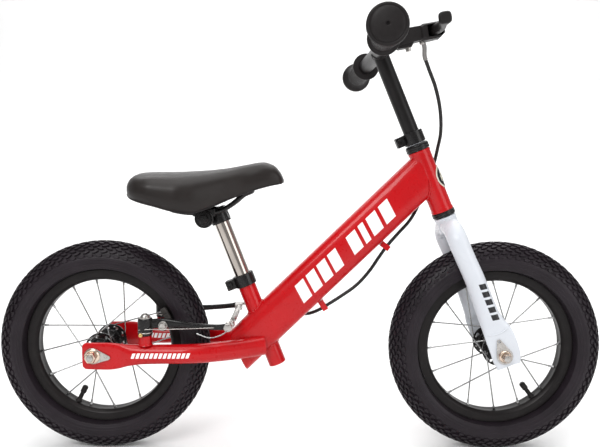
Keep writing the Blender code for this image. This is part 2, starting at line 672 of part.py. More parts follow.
skin("saddle_base", [base_ring(*s) for s in SADDLE[1:-2]], "plastic")
RAIL = [(-0.2080, 0.0260, 0.3640), (-0.1950, 0.0255, 0.3590),
        (-0.1780, 0.0240, 0.3505), (-0.1600, 0.0220, 0.3470),
        (-0.1340, 0.0215, 0.3470), (-0.1120, 0.0215, 0.3490),
        (-0.0950, 0.0200, 0.3590), (-0.0800, 0.0160, 0.3710),
        (-0.0700, 0.0080, 0.3755), (-0.0680, 0.0, 0.3762)]
right = [Vector((x, -y, z)) for x, y, z in RAIL]
left = [Vector((x, y, z)) for x, y, z in reversed(RAIL[:-1])]
rail_path = smooth_path(right + left, 1)
wire("saddle_rails", rail_path, 0.0034, "black", 2)
for side, sgn in (("right", -1), ("left", 1)):
    plate = turned("rail_clamp_" + side,
                   [(0.0044, 0.0156), (0.0126, 0.0156), (0.0132, 0.0200),
                    (0.0132, 0.0255), (0.0118, 0.0282), (0.0044, 0.0282)],
                   SADDLE_PIVOT, Y * sgn, "black", 16)
    boolean(plate, cylinder("cut_rail_" + side,
                            Vector((-0.1650, sgn * 0.0218, 0.3470)),
                            Vector((-0.1060, sgn * 0.0214, 0.3476)), 0.0046,
                            seg=14, cutter=True))

# ---------------------------------------------------------------- rim brake
ARM = [(-0.2062, 0.0531, 0.1955, 0.0068, 0.0042),
       (-0.2000, 0.0515, 0.1955, 0.0068, 0.0040),
       (-0.1890, 0.0480, 0.1955, 0.0068, 0.0036),
       (-0.1700, 0.0490, 0.1948, 0.0052, 0.0034),
       (-0.1500, 0.0545, 0.1940, 0.0042, 0.0034),
       (-0.1300, 0.0607, 0.1938, 0.0038, 0.0034),
       (-0.1100, 0.0658, 0.1945, 0.0038, 0.0036),
       (-0.0985, 0.0680, 0.1955, 0.0044, 0.0040)]
PAD_C = Vector((-0.1880, 0.0, 0.1925))
for side, sgn in (("right", -1), ("left", 1)):
    base = Vector((BRAKE_PIVOT.x, sgn * BRAKE_PIVOT.y, 0))
    arm = turned("brake_arm_" + side,
                 [(0.0047, 0.1804), (0.0095, 0.1804), (0.0100, 0.1830),
                  (0.0100, 0.2020), (0.0090, 0.2044), (0.0047, 0.2044)],
                 base, Vector((0, 0, 1)), "black", 16)
    st = [(Vector((x, sgn * y, z)), h, w) for x, y, z, h, w in ARM]
    boolean(arm, skin("arm_bar_" + side,
                      sweep_rings(st, Vector((0, 0, 1)), 10, power=2.8),
                      cutter=True), "UNION")
    boolean(arm, cylinder("arm_pad_hole_" + side, PAD_C + Y * sgn * 0.03,
                          PAD_C + Y * sgn * 0.07, 0.0036, seg=14, cutter=True))
    # brake shoe: block along the rim, stud through the arm, nut outside
    pad = turned("brake_pad_" + side,
                 [(0, 0.0236), (0.0058, 0.0236), (0.0058, 0.0290), (0.0031, 0.0300),
                  (0.0031, 0.0532), (0.0055, 0.0532), (0.0055, 0.0575), (0, 0.0575)],
                 PAD_C, Y * sgn, "rubber", 14)
    radial = Vector((PAD_C.x + WHEEL_X, 0, PAD_C.z + 0.0020 - TYRE_R)).normalized()
    mid = Vector((-WHEEL_X, 0, TYRE_R)) + radial * 0.1045
    boolean(pad, box("shoe_" + side,
                     frame_at(mid + Y * sgn * 0.0198, radial.cross(Y), Y * sgn),
                     (0.0340, 0.0094, 0.0085), bevel=0.0, cutter=True),
            "UNION")

noodle = smooth_path([Vector(p) for p in (
    (-0.0641, 0.0562, 0.1960), (-0.0705, 0.0665, 0.1962), (-0.0790, 0.0745, 0.1962),
    (-0.0875, 0.0755, 0.1962), (-0.0925, 0.0690, 0.1962), (-0.0933, 0.0570, 0.1962),
    (-0.0933, 0.0440, 0.1962))], 1)
st = [(p, 0.0029, 0.0029) for p in noodle]
skin("brake_noodle", sweep_rings(st, Vector((0, 0, 1)), 8), "steel",
     inner=sweep_rings(st, Vector((0, 0, 1)), 8, shrink=0.0013),
     inner_open_end=True)
wire("brake_wire", smooth_path([Vector(p) for p in (
    (-0.0933, 0.0480, 0.1962), (-0.0933, 0.0200, 0.1962), (-0.0933, -0.0250, 0.1962),
    (-0.0934, -0.0610, 0.1960), (-0.0945, -0.0720, 0.1942), (-0.0990, -0.0760, 0.1900),
    (-0.1100, -0.0770, 0.1845), (-0.1210, -0.0755, 0.1825),
    (-0.1350, -0.0725, 0.1860))], 2), 0.0008, "steel", 2)

# ---------------------------------------------------------------- brake cable
UPPER = [(0.1575, -0.0694, 0.5789), (0.1577, -0.0660, 0.5789), (0.1595, -0.0610, 0.5770),
         (0.1633, -0.0570, 0.5700), (0.1652, -0.0510, 0.5580),
         (0.1705, -0.0440, 0.5475), (0.1848, -0.0300, 0.5200),
         (0.1965, -0.0120, 0.4845), (0.2000, 0.0020, 0.4580),
         (0.1990, 0.0130, 0.4400), (0.1950, 0.0205, 0.4150),
         (0.1860, 0.0240, 0.3880), (0.1760, 0.0225, 0.3600),
         (0.1605, 0.0120, 0.3345), (0.1420, 0.0035, 0.3155)]
LOWER = [(0.1420, 0.0035, 0.3155), (0.1350, 0.0020, 0.3080),
         (0.1250, 0.0003, 0.2965), (0.1150, 0.0, 0.2820), (0.1005, 0.0, 0.2605),
         (0.0830, 0.0, 0.2410), (0.0610, 0.0005, 0.2245), (0.0420, 0.0010, 0.2120),
         (0.0310, 0.0015, 0.2050), (0.0180, 0.0090, 0.1975),
         (0.0050, 0.0215, 0.1925), (-0.0120, 0.0270, 0.1930),
         (-0.0350, 0.0300, 0.1940), (-0.0525, 0.0400, 0.1952),
         (-0.0636, 0.0555, 0.1960)]
upper = smooth_path([Vector(p) for p in UPPER], 2)
lower = smooth_path([Vector(p) for p in LOWER], 2)
first = lower[0] + (lower[1] - lower[0]).normalized() * 0.0012
wire("brake_cable_upper", upper, CABLE_R, "plastic", 2)
wire("brake_cable_lower", [first] + lower[1:], CABLE_R, "plastic", 2)
for label, i in (("upper", 4), ("lower", 15)):
    at = lower[i]
    t = (lower[i + 1] - lower[i - 1]).normalized()
    up = (B_NRM - t * B_NRM.dot(t)).normalized()
    # height of the main tube's lower face above the cable here
    reach = (BEAM_OFFSET - BEAM_H) - at.dot(B_NRM)
    top = reach - 0.0007
    clip = box("cable_guide_" + label,
               frame_at(at + up * (top - 0.0045) / 2, -t, up),
               (0.0080, 0.0090, top + 0.0045), "red", bevel=0.0)
    boolean(clip, cylinder("clip_bore_" + label, at - t * 0.02, at + t * 0.02,
                           0.0032, seg=14, cutter=True))
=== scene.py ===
"""Looks of the child's balance bike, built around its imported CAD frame.

Metres; +X towards the front wheel, +Y to the rider's left, +Z up.
"""
import math

import bmesh
import bpy
import numpy as np
from mathutils import Matrix, Vector


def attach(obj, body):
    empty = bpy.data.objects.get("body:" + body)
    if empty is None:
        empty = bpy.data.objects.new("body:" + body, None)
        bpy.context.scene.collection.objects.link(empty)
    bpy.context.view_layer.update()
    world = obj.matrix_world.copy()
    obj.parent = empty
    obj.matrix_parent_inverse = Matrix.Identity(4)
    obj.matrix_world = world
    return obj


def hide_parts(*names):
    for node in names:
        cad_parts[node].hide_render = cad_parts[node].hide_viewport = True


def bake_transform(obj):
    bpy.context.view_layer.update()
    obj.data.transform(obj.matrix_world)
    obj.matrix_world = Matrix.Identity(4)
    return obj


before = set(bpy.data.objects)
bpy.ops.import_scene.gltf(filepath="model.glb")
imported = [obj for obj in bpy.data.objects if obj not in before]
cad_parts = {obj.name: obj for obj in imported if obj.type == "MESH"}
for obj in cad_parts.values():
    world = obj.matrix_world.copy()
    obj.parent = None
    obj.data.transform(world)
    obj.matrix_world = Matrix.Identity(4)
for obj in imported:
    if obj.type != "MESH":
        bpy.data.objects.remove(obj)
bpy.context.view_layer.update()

scene = bpy.context.scene
scene.view_settings.view_transform = "Standard"
scene.view_settings.look = "None"

# ------------------------------------------------------------------ camera
PITCH, YAW, ROLL = 0.0909, -0.0053, 0.0029
fwd = Vector((math.sin(YAW) * math.cos(PITCH), math.cos(YAW) * math.cos(PITCH),
              -math.sin(PITCH)))
right = Vector((math.cos(YAW), -math.sin(YAW), 0))
up = right.cross(fwd)
r2 = right * math.cos(ROLL) + up * math.sin(ROLL)
u2 = up * math.cos(ROLL) - right * math.sin(ROLL)
cam_data = bpy.data.cameras.new("camera")
cam_data.lens, cam_data.sensor_width = 37.479, 36.0
cam_data.sensor_fit = "HORIZONTAL"
cam_data.clip_start, cam_data.clip_end = 0.02, 60.0
cam = bpy.data.objects.new("camera", cam_data)
cam.matrix_world = Matrix.Translation((0.0052, -0.8962, 0.4118)) @ Matrix(
    (r2, u2, -fwd)).transposed().to_4x4()
scene.collection.objects.link(cam)
scene.camera = cam

# ------------------------------------------------------------------ dimensions
WHEEL_X, TYRE_R, TYRE_TUBE_R = 0.2830, 0.1525, 0.0265
RIM_R_IN, RIM_R_OUT, RIM_HALF_W = 0.0963, 0.1115, 0.0130
HUB_FLANGE_R, HUB_FLANGE_Y = 0.0225, 0.0250
SPOKE_R, SPOKE_HUB_R = 0.0010, 0.0190
HEAD_TILT = math.radians(22.8)
HEAD_BOTTOM = Vector((0.2050, 0.0, 0.3490))
HEAD_LEN, HEAD_R, STEERER_R, BAR_R = 0.0929, 0.0155, 0.0127, 0.0111
BAR_T, GRIP_END_Y = 0.2430, 0.2123
SEAT_TILT = math.radians(21.16)
SEAT_BOTTOM = Vector((-0.0320, 0.0, 0.12475))
SEAT_TUBE_LEN, SEAT_TUBE_R, POST_R = 0.1385, 0.0127, 0.0111
BEAM_SLOPE = math.radians(44.15)
BEAM_OFFSET, BEAM_H, BEAM_W = 0.16505, 0.0290, 0.0200
SADDLE_PIVOT = Vector((-0.1340, 0.0, 0.3385))
BRAKE_X, BRAKE_Y = -0.2120, 0.0535
CABLE_R = 0.0025
Y = Vector((0, 1, 0))
Z = Vector((0, 0, 1))
S_UP = Vector((-math.sin(HEAD_TILT), 0, math.cos(HEAD_TILT)))
S_FWD = Vector((math.cos(HEAD_TILT), 0, math.sin(HEAD_TILT)))
P_UP = Vector((-math.sin(SEAT_TILT), 0, math.cos(SEAT_TILT)))
P_FWD = Vector((math.cos(SEAT_TILT), 0, math.sin(SEAT_TILT)))
B_DIR = Vector((math.cos(BEAM_SLOPE), 0, math.sin(BEAM_SLOPE)))
B_NRM = Vector((-math.sin(BEAM_SLOPE), 0, math.cos(BEAM_SLOPE)))


def S(t, f=0.0, y=0.0):
    return HEAD_BOTTOM + S_UP * t + S_FWD * f + Y * y


def P(t, f=0.0, y=0.0):
    return SEAT_BOTTOM + P_UP * t + P_FWD * f + Y * y


def B(s, h=0.0, y=0.0):
    return B_DIR * s + B_NRM * (BEAM_OFFSET + h) + Y * y


def bar_point(y):
    s = (math.sqrt(y * y + 0.0004) - 0.02) / 0.1932
    c = S(BAR_T)
    return Vector((c.x - 0.0158 * s, y, c.z - 0.0083 * s))


# ------------------------------------------------------------------ mesh tools
def slopes(t, y, mono):
    d = np.diff(y) / np.diff(t)
    m = np.zeros(len(y))
    m[0], m[-1] = d[0], d[-1]
    for i in range(1, len(y) - 1):
        h0, h1 = t[i] - t[i - 1], t[i + 1] - t[i]
        if not mono:
            m[i] = (d[i - 1] * h1 + d[i] * h0) / (h0 + h1)
        elif d[i - 1] * d[i] > 0:
            w1, w2 = 2 * h1 + h0, h1 + 2 * h0
            m[i] = (w1 + w2) / (w1 / d[i - 1] + w2 / d[i])
    return m


def dense(rows, n, cols=3, mono=True):
    """Rows resampled evenly along their first columns, on smooth curves."""
    a = np.array([list(r) for r in rows], float)
    t = np.r_[0, np.cumsum(np.linalg.norm(np.diff(a[:, :cols], axis=0), axis=1))]
    q = np.linspace(0, t[-1], n)
    i = np.clip(np.searchsorted(t, q, side="right") - 1, 0, len(t) - 2)
    h = np.diff(t)[i]
    u = (q - t[i]) / h
    out = np.zeros((n, a.shape[1]))
    for c in range(a.shape[1]):
        y, m = a[:, c], slopes(t, a[:, c], mono)
        out[:, c] = ((2 * u**3 - 3 * u**2 + 1) * y[i] + (u**3 - 2 * u**2 + u) * h * m[i]
                     + (3 * u**2 - 2 * u**3) * y[i + 1] + (u**3 - u**2) * h * m[i + 1])
    return out


def path(points, n, mono=False):
    return [Vector(p) for p in dense(points, n, 3, mono)]


def new(name, verts, faces):
    me = bpy.data.meshes.new(name)
    me.from_pydata([tuple(v) for v in verts], [], faces)
    ob = bpy.data.objects.new(name, me)
    scene.collection.objects.link(ob)
    return ob


def skin(name, rings, caps=True, closed=False):
    n = len(rings[0])
    verts = [v for r in rings for v in r]
    faces = []
    m = len(rings)
    for i in range(m if closed else m - 1):
        a, b = i * n, ((i + 1) % m) * n
        for j in range(n):
            k = (j + 1) % n
            faces.append((a + j, a + k, b + k, b + j))
    if caps and not closed:
        faces.append(tuple(range(n)))
        faces.append(tuple((m - 1) * n + j for j in reversed(range(n))))
    return new(name, verts, faces)


def basis(direction):
    z = Vector(direction).normalized()
    x = Vector((1, 0, 0)) - z * z.x
    if x.length < 0.05:
        x = Vector((0, 0, 1)) - z * z.z
    x.normalize()
    return x, z.cross(x), z


def lathe(name, profile, origin, direction, n=72, closed=True):
    """Closed outline of (radius, distance) turned about an axis."""
    x, y, z = basis(direction)
    o = Vector(origin)
    rings = []
    for r, d in profile:
        rings.append([o + z * d + (x * math.cos(a) + y * math.sin(a)) * r
                      for a in (2 * math.pi * j / n for j in range(n))])
    return skin(name, rings, caps=False, closed=closed)


def cyl(name, a, b, r, n=48, r2=None):
    a, b = Vector(a), Vector(b)
    r2 = r if r2 is None else r2
    return lathe(name, [(0, 0), (r, 0), (r2, (b - a).length), (0, (b - a).length)],
                 a, b - a, n, closed=False)


def tube(name, a, b, ro, ri, n=72):
    a, b = Vector(a), Vector(b)
    h = (b - a).length
    return lathe(name, [(ro, 0), (ro, h), (ri, h), (ri, 0)], a, b - a, n)


def oval(n, power):
    out = []
    for j in range(n):
        a = 2 * math.pi * j / n
        c, s = math.cos(a), math.sin(a)
        out.append((math.copysign(abs(c) ** (2 / power), c),
                    math.copysign(abs(s) ** (2 / power), s)))
    return out


def sweep(stations, side, n=48, tangents=None):
    """Rings (centre, half a, half b, power): a lies along side, b across."""
    pts = [s[0] for s in stations]
    rings = []
    for i, st in enumerate(stations):
        c, a, b = st[0], st[1], st[2]
        power = st[3] if len(st) > 3 else 2.0
        t = pts[min(i + 1, len(pts) - 1)] - pts[max(i - 1, 0)]
        if tangents and i in tangents:
            t = tangents[i]
        t = t.normalized()
        s = (side - t * side.dot(t)).normalized()
        o = t.cross(s)
        rings.append([c + s * (u * a) + o * (v * b) for u, v in oval(n, power)])
    return rings


def pipe(name, pts, r, n=16, caps=True, closed=False):
    """Round tube along points, with no twist. r is a number or one per point."""
    pts = [Vector(p) for p in pts]
    m = len(pts)
    rad = [r] * m if isinstance(r, (int, float)) else list(r)
    tan = []
    for i in range(m):
        if closed:
            t = pts[(i + 1) % m] - pts[(i - 1) % m]
        else:
            t = pts[min(i + 1, m - 1)] - pts[max(i - 1, 0)]
        tan.append(t.normalized())
    side = basis(tan[0])[0]
    rings = []
    for i in range(m):
        side = (side - tan[i] * side.dot(tan[i])).normalized()
        o = tan[i].cross(side)
        rings.append([pts[i] + (side * math.cos(a) + o * math.sin(a)) * rad[i]
                      for a in (2 * math.pi * j / n for j in range(n))])
    return skin(name, rings, caps=caps, closed=closed)


def frame_at(origin, x_axis, z_axis):
    x = Vector(x_axis).normalized()
    z = Vector(z_axis)
    z = (z - x * z.dot(x)).normalized()
    y = z.cross(x)
    m = Matrix((x, y, z)).transposed().to_4x4()
    m.translation = origin
    return m


def block(name, m, size, taper=1.0):
    """Box in its own frame; taper scales its +X end."""
    v = []
    for sx in (-0.5, 0.5):
        k = taper if sx > 0 else 1.0
        for sy in (-0.5, 0.5):
            for sz in (-0.5, 0.5):
                v.append(m @ Vector((sx * size[0], sy * size[1] * k, sz * size[2] * k)))
    return new(name, v, [(0, 1, 3, 2), (4, 6, 7, 5), (0, 4, 5, 1), (2, 3, 7, 6),
                         (0, 2, 6, 4), (1, 5, 7, 3)])


def hull(name, points):
    ob = new(name, points, [])
    bm = bmesh.new()
    bm.from_mesh(ob.data)
    out = bmesh.ops.convex_hull(bm, input=bm.verts)
    inner = {g for g in out["geom_interior"] + out["geom_unused"]
             if isinstance(g, bmesh.types.BMVert)}
    bmesh.ops.delete(bm, geom=[v for v in bm.verts if v in inner], context="VERTS")
    bmesh.ops.dissolve_limit(bm, angle_limit=0.02, verts=bm.verts, edges=bm.edges)
    bm.to_mesh(ob.data)
    bm.free()
    return ob


def prism(name, outline, origin, x_axis, y_axis, depth):
    """Outline of (x, y) pushed depth along its normal."""
    x, y = Vector(x_axis).normalized(), Vector(y_axis).normalized()
    z = x.cross(y)
    o = Vector(origin)
    rings = [[o + x * a + y * b + z * d for a, b in outline] for d in (0, depth)]
    return skin(name, rings)


def clean(ob):
    bm = bmesh.new()
    bm.from_mesh(ob.data)
    bmesh.ops.remove_doubles(bm, verts=bm.verts, dist=2e-6)
    bmesh.ops.recalc_face_normals(bm, faces=bm.faces)
    bm.to_mesh(ob.data)
    bm.free()
    return ob


def boolean(ob, tool, op="DIFFERENCE"):
    clean(ob), clean(tool)
    m = ob.modifiers.new("cut", "BOOLEAN")
    m.operation, m.solver, m.object = op, "EXACT", tool
    bpy.context.view_layer.update()
    me = bpy.data.meshes.new_from_object(
        ob.evaluated_get(bpy.context.evaluated_depsgraph_get()))
    ob.modifiers.clear()
    ob.data = me
    bpy.data.objects.remove(tool)
    return ob


def join(name, obs):
    bm = bmesh.new()
    for ob in obs:
        bm.from_mesh(ob.data)
    me = bpy.data.meshes.new(name)
    bm.to_mesh(me)
    bm.free()
    for ob in obs:
        bpy.data.objects.remove(ob)
    out = bpy.data.objects.new(name, me)
    scene.collection.objects.link(out)
    return out


def soft(ob, width=0.0, seg=2, angle=32.0, sharp=55.0):
    """Rounds the edges of a piece and sets its shading."""
    bm = bmesh.new()
    bm.from_mesh(ob.data)
    bmesh.ops.remove_doubles(bm, verts=bm.verts, dist=2e-6)
    bmesh.ops.recalc_face_normals(bm, faces=bm.faces)
    if width:
        edges = [e for e in bm.edges if len(e.link_faces) == 2
                 and e.calc_face_angle(0) > math.radians(angle)]
        if edges:
            bmesh.ops.bevel(bm, geom=edges, offset=width, offset_type="OFFSET",
                            segments=seg, profile=0.5, affect="EDGES",
                            clamp_overlap=True)
    for f in bm.faces:
        f.smooth = True
    for e in bm.edges:
        if len(e.link_faces) == 2:
            e.smooth = e.calc_face_angle(0) < math.radians(sharp)
    bm.to_mesh(ob.data)
    bm.free()
    return ob


def place(ob, body, mat, slot, *nodes):
    ob.data.materials.clear()
    ob.data.materials.append(mat)
    for p in ob.data.polygons:
        p.material_index = 0
    if width_normals.get(ob.name, True):
        w = ob.modifiers.new("shade", "WEIGHTED_NORMAL")
        w.keep_sharp = True
        w.weight = 60
    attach(ob, body)
    if nodes:
        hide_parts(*nodes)
    return ob


width_normals = {}


def crossing(rings, inside):
    """Where each line of a swept surface first meets another body."""
    n, out = len(rings[0]), []
    for j in range(n):
        for i in range(len(rings) - 1):
            a, b = rings[i][j], rings[i + 1][j]
            if not inside(a) and inside(b):
                for _ in range(18):
                    c = (a + b) / 2
                    if inside(c):
                        b = c
                    else:
                        a = c
                out.append((a + b) / 2)
                break
    return out


def bead(name, pts, r=0.0015, ripples=1.1):
    """Weld bead: a closed tube with the stacked ripple of a hand weld."""
    pts = [Vector(p) for p in pts]
    total = sum((pts[i] - pts[i - 1]).length for i in range(len(pts)))
    n = max(60, int(total / 0.0009))
    cum = [0.0]
    for i in range(1, len(pts) + 1):
        cum.append(cum[-1] + (pts[i % len(pts)] - pts[i - 1]).length)
    out, k = [], 0
    for q in range(n):
        d = total * q / n
        while cum[k + 1] < d:
            k += 1
        u = (d - cum[k]) / max(cum[k + 1] - cum[k], 1e-9)
        out.append(pts[k].lerp(pts[(k + 1) % len(pts)], u))
    turns = max(8, round(total / 0.0032))
    rad = [r * (1 + 0.16 * math.sin(2 * math.pi * turns * q / n) * ripples)
           for q in range(n)]
    return pipe(name, out, rad, 12, closed=True)


# ------------------------------------------------------------------ materials
class Tree:
    def __init__(self, name):
        self.m = bpy.data.materials.new(name)
        self.m.use_nodes = True
        self.t = self.m.node_tree
        self.b = self.t.nodes["Principled BSDF"]
        self.tc = self.t.nodes.new("ShaderNodeTexCoord")
        self.co = self.tc.outputs["Object"]

    def link(self, a, b):
        self.t.links.new(a, b)

    def noise(self, scale, detail=4.0, rough=0.55, stretch=None):
        n = self.t.nodes.new("ShaderNodeTexNoise")
        n.inputs["Scale"].default_value = scale
        n.inputs["Detail"].default_value = detail
        n.inputs["Roughness"].default_value = rough
        if stretch:
            mp = self.t.nodes.new("ShaderNodeMapping")
            mp.inputs["Scale"].default_value = stretch
            self.link(self.co, mp.inputs["Vector"])
            self.link(mp.outputs["Vector"], n.inputs["Vector"])
        else:
            self.link(self.co, n.inputs["Vector"])
        return n.outputs["Fac"]

    def cells(self, scale, feature="F1"):
        n = self.t.nodes.new("ShaderNodeTexVoronoi")
        n.feature = feature
        n.inputs["Scale"].default_value = scale
        self.link(self.co, n.inputs["Vector"])
        return n.outputs["Distance"]

    def ramp(self, fac, lo, hi, a, b):
        n = self.t.nodes.new("ShaderNodeMapRange")
        n.inputs["From Min"].default_value, n.inputs["From Max"].default_value = lo, hi
        n.inputs["To Min"].default_value, n.inputs["To Max"].default_value = a, b
        self.link(fac, n.inputs["Value"])
        return n.outputs["Result"]

    def mix(self, fac, a, b):
        n = self.t.nodes.new("ShaderNodeMix")
        n.data_type = "RGBA"
        self.link(fac, n.inputs["Factor"])
        for key, val in (("A", a), ("B", b)):
            sock = [s for s in n.inputs if s.name == key and s.type == "RGBA"][0]
            if isinstance(val, tuple):
                sock.default_value = (*val, 1.0)
            else:
                self.link(val, sock)
        return [s for s in n.outputs if s.type == "RGBA"][0]

    def math(self, op, *vals):
        n = self.t.nodes.new("ShaderNodeMath")
        n.operation = op
        for i, v in enumerate(vals):
            if isinstance(v, (int, float)):
                n.inputs[i].default_value = v
            else:
                self.link(v, n.inputs[i])
        return n.outputs[0]

    def dot(self, vec):
        n = self.t.nodes.new("ShaderNodeVectorMath")
        n.operation = "DOT_PRODUCT"
        self.link(self.co, n.inputs[0])
        n.inputs[1].default_value = tuple(vec)
        return n.outputs["Value"]

    def bump(self, height, strength, distance):
        n = self.t.nodes.new("ShaderNodeBump")
        n.inputs["Strength"].default_value = strength
        n.inputs["Distance"].default_value = distance
        self.link(height, n.inputs["Height"])
        self.link(n.outputs["Normal"], self.b.inputs["Normal"])
        return n.outputs["Normal"]

    def set(self, **kw):
        for k, v in kw.items():
            self.b.inputs[k.replace("_", " ")].default_value = v
        return self


def finish_mat(name, base, alt, rough, var, metal=0.0, scale=40.0, fine=300.0,
               bump=(0.05, 900.0, 0.0002), decal=None, **sockets):
    t = Tree(name)
    col = t.mix(t.ramp(t.noise(scale, 5.0), 0.3, 0.7, 0.0, 1.0), base, alt)
    if decal:
        mask, ink = decal(t)
        col = t.mix(mask, col, ink)
    t.link(col, t.b.inputs["Base Color"])
    t.link(t.ramp(t.noise(fine, 3.0), 0.3, 0.7, rough - var, rough + var),
           t.b.inputs["Roughness"])
    t.b.inputs["Metallic"].default_value = metal
    t.bump(t.noise(bump[1], 2.0), bump[0], bump[2])
    for k, v in sockets.items():
        t.b.inputs[k.replace("_", " ")].default_value = v
    return t.m


def bars(axis, across, side, spans, low, high, slant=0.25, reach=0.0115):
    """Mask of slanted bars: spans along axis, between low and high across."""
    def build(t):
        a0 = t.dot(axis[0])
        b = t.math("SUBTRACT", t.dot(across[0]), across[1])
        a = t.math("SUBTRACT", t.math("SUBTRACT", a0, axis[1]),
                   t.math("MULTIPLY", b, slant))
        rows = t.math("COMPARE", b, (low + high) / 2, (high - low) / 2)
        total = None
        for lo, hi in spans:
            one = t.math("COMPARE", a, (lo + hi) / 2, (hi - lo) / 2)
            total = one if total is None else t.math("MAXIMUM", total, one)
        y = t.math("ABSOLUTE", t.dot(Y))
        return t.math("MULTIPLY", t.math("MULTIPLY", total, rows),
                      t.math("GREATER_THAN", y, reach))
    return build


RED, RED2 = (0.500, 0.0010, 0.0040), (0.440, 0.0008, 0.0034)
WHITE = (0.90, 0.90, 0.90)
beam_bars = bars((B_DIR, 0.0), (B_NRM, BEAM_OFFSET), -1,
                 [(0.1600, 0.1765), (0.1815, 0.1975), (0.2025, 0.2185), (0.2235, 0.2395),
                  (0.2600, 0.2775), (0.2830, 0.2925), (0.2985, 0.3165),
                  (0.3225, 0.3400)],
                 -0.0135, 0.0135, 0.28)
stay_bars = bars((Vector((1, 0, 0)), 0.0), (Z, 0.1530), -1,
                 [(-0.2290 + 0.0062 * k, -0.2290 + 0.0062 * k + 0.0042)
                  for k in range(13)], -0.0036, 0.0036, 0.35, 0.03)
fork_bars = bars((S_UP, HEAD_BOTTOM.dot(S_UP)), (S_FWD, HEAD_BOTTOM.dot(S_FWD)), -1,
                 [(-0.1590 + 0.0115 * k, -0.1590 + 0.0115 * k + 0.0082)
                  for k in range(5)], -0.0015, 0.0085, -0.25, 0.03)

paint = dict(metal=0.0, scale=22.0, fine=160.0, bump=(0.045, 420.0, 0.0003),
             Coat_Weight=0.30, Coat_Roughness=0.06, Specular_IOR_Level=0.20)
M_RED = finish_mat("red_enamel", RED, RED2, 0.30, 0.05, **paint)
M_BEAM = finish_mat("red_enamel_main", RED, RED2, 0.30, 0.05,
                    decal=lambda t: (beam_bars(t), WHITE), **paint)
M_STAY = finish_mat("red_enamel_stay", RED, RED2, 0.30, 0.05,
                    decal=lambda t: (stay_bars(t), WHITE), **paint)
M_WHITE = finish_mat("white_enamel", (0.64, 0.665, 0.71), (0.60, 0.625, 0.67), 0.30,
                     0.05, decal=lambda t: (fork_bars(t), (0.012, 0.012, 0.014)),
                     **paint)
M_BLACK = finish_mat("black_powder_coat", (0.0060, 0.0050, 0.0052), (0.0095, 0.0080, 0.0082),
                     0.38, 0.06, scale=60.0, fine=500.0, bump=(0.12, 1600.0, 0.0002),
                     Coat_Weight=0.05, Coat_Roughness=0.25, Specular_IOR_Level=0.22)
M_GLOSS = finish_mat("black_gloss", (0.0050, 0.0045, 0.0048), (0.0080, 0.0070, 0.0072),
                     0.28, 0.05, scale=80.0, fine=500.0, bump=(0.05, 1200.0, 0.0002),
                     Coat_Weight=0.12, Coat_Roughness=0.15, Specular_IOR_Level=0.25)
M_RIM = finish_mat("black_anodised", (0.0075, 0.0060, 0.0062), (0.0120, 0.0100, 0.0100),
                   0.38, 0.07, metal=0.35, scale=50.0, fine=700.0,
                   bump=(0.06, 1500.0, 0.0002), Coat_Weight=0.08, Coat_Roughness=0.3,
                   Specular_IOR_Level=0.20)
M_PLASTIC = finish_mat("moulded_plastic", (0.0085, 0.0070, 0.0072), (0.0130, 0.0110, 0.0112),
                       0.42, 0.06, scale=70.0, fine=600.0,
                       bump=(0.18, 2200.0, 0.0002), Specular_IOR_Level=0.25)
M_GRIP = finish_mat("grip_rubber", (0.0085, 0.0068, 0.0070), (0.0130, 0.0108, 0.0110),
                    0.48, 0.07, scale=90.0, fine=500.0, bump=(0.2, 1800.0, 0.0002),
                    Sheen_Weight=0.01, Sheen_Roughness=0.5, Specular_IOR_Level=0.20)
M_CABLE = finish_mat("cable_sheath", (0.0060, 0.0050, 0.0052), (0.0100, 0.0085, 0.0085),
                     0.30, 0.05, scale=120.0, fine=700.0, bump=(0.05, 1500.0, 0.0001),
                     Specular_IOR_Level=0.35)
M_FERRULE = finish_mat("grey_ferrule", (0.16, 0.15, 0.15), (0.23, 0.22, 0.21), 0.4,
                       0.06, scale=200.0, fine=700.0, bump=(0.06, 1500.0, 0.0001))
M_TYRE = finish_mat("tyre_rubber", (0.0098, 0.0066, 0.0092), (0.0165, 0.0116, 0.0158),
                    0.44, 0.08, scale=30.0, fine=260.0, bump=(0.25, 1300.0, 0.0003),
                    Sheen_Weight=0.02, Sheen_Roughness=0.4, Specular_IOR_Level=0.22)
M_STEEL = finish_mat("zinc_steel", (0.52, 0.50, 0.48), (0.36, 0.34, 0.32), 0.28, 0.10,
                     metal=1.0, scale=260.0, fine=900.0, bump=(0.06, 1800.0, 0.0001))
M_SPOKE = finish_mat("stainless_wire", (0.36, 0.36, 0.36), (0.27, 0.27, 0.27), 0.25,
                     0.06, metal=1.0, scale=300.0, fine=1200.0,
                     bump=(0.04, 2600.0, 0.0001))
M_WARM = finish_mat("plated_nut", (0.78, 0.64, 0.52), (0.56, 0.44, 0.36), 0.20, 0.07,
                    metal=1.0, scale=220.0, fine=900.0, bump=(0.05, 1500.0, 0.0001))
M_BRASS = finish_mat("brass", (0.72, 0.50, 0.20), (0.56, 0.38, 0.15), 0.28, 0.08,
                     metal=1.0, scale=260.0, fine=900.0, bump=(0.05, 1800.0, 0.0001))
M_CHROME = finish_mat("chrome", (0.47, 0.43, 0.39), (0.38, 0.34, 0.31), 0.10, 0.04,
                      metal=1.0, scale=30.0, fine=400.0, bump=(0.02, 900.0, 0.0001))
M_PAD = finish_mat("brake_rubber", (0.034, 0.030, 0.028), (0.052, 0.047, 0.044), 0.62,
                   0.08, scale=120.0, fine=600.0, bump=(0.2, 1600.0, 0.0002),
                   Specular_IOR_Level=0.30)
M_CREAM = finish_mat("badge_cream", (0.70, 0.66, 0.56), (0.62, 0.58, 0.48), 0.35, 0.05,
                     scale=200.0, fine=600.0, bump=(0.03, 900.0, 0.0001))
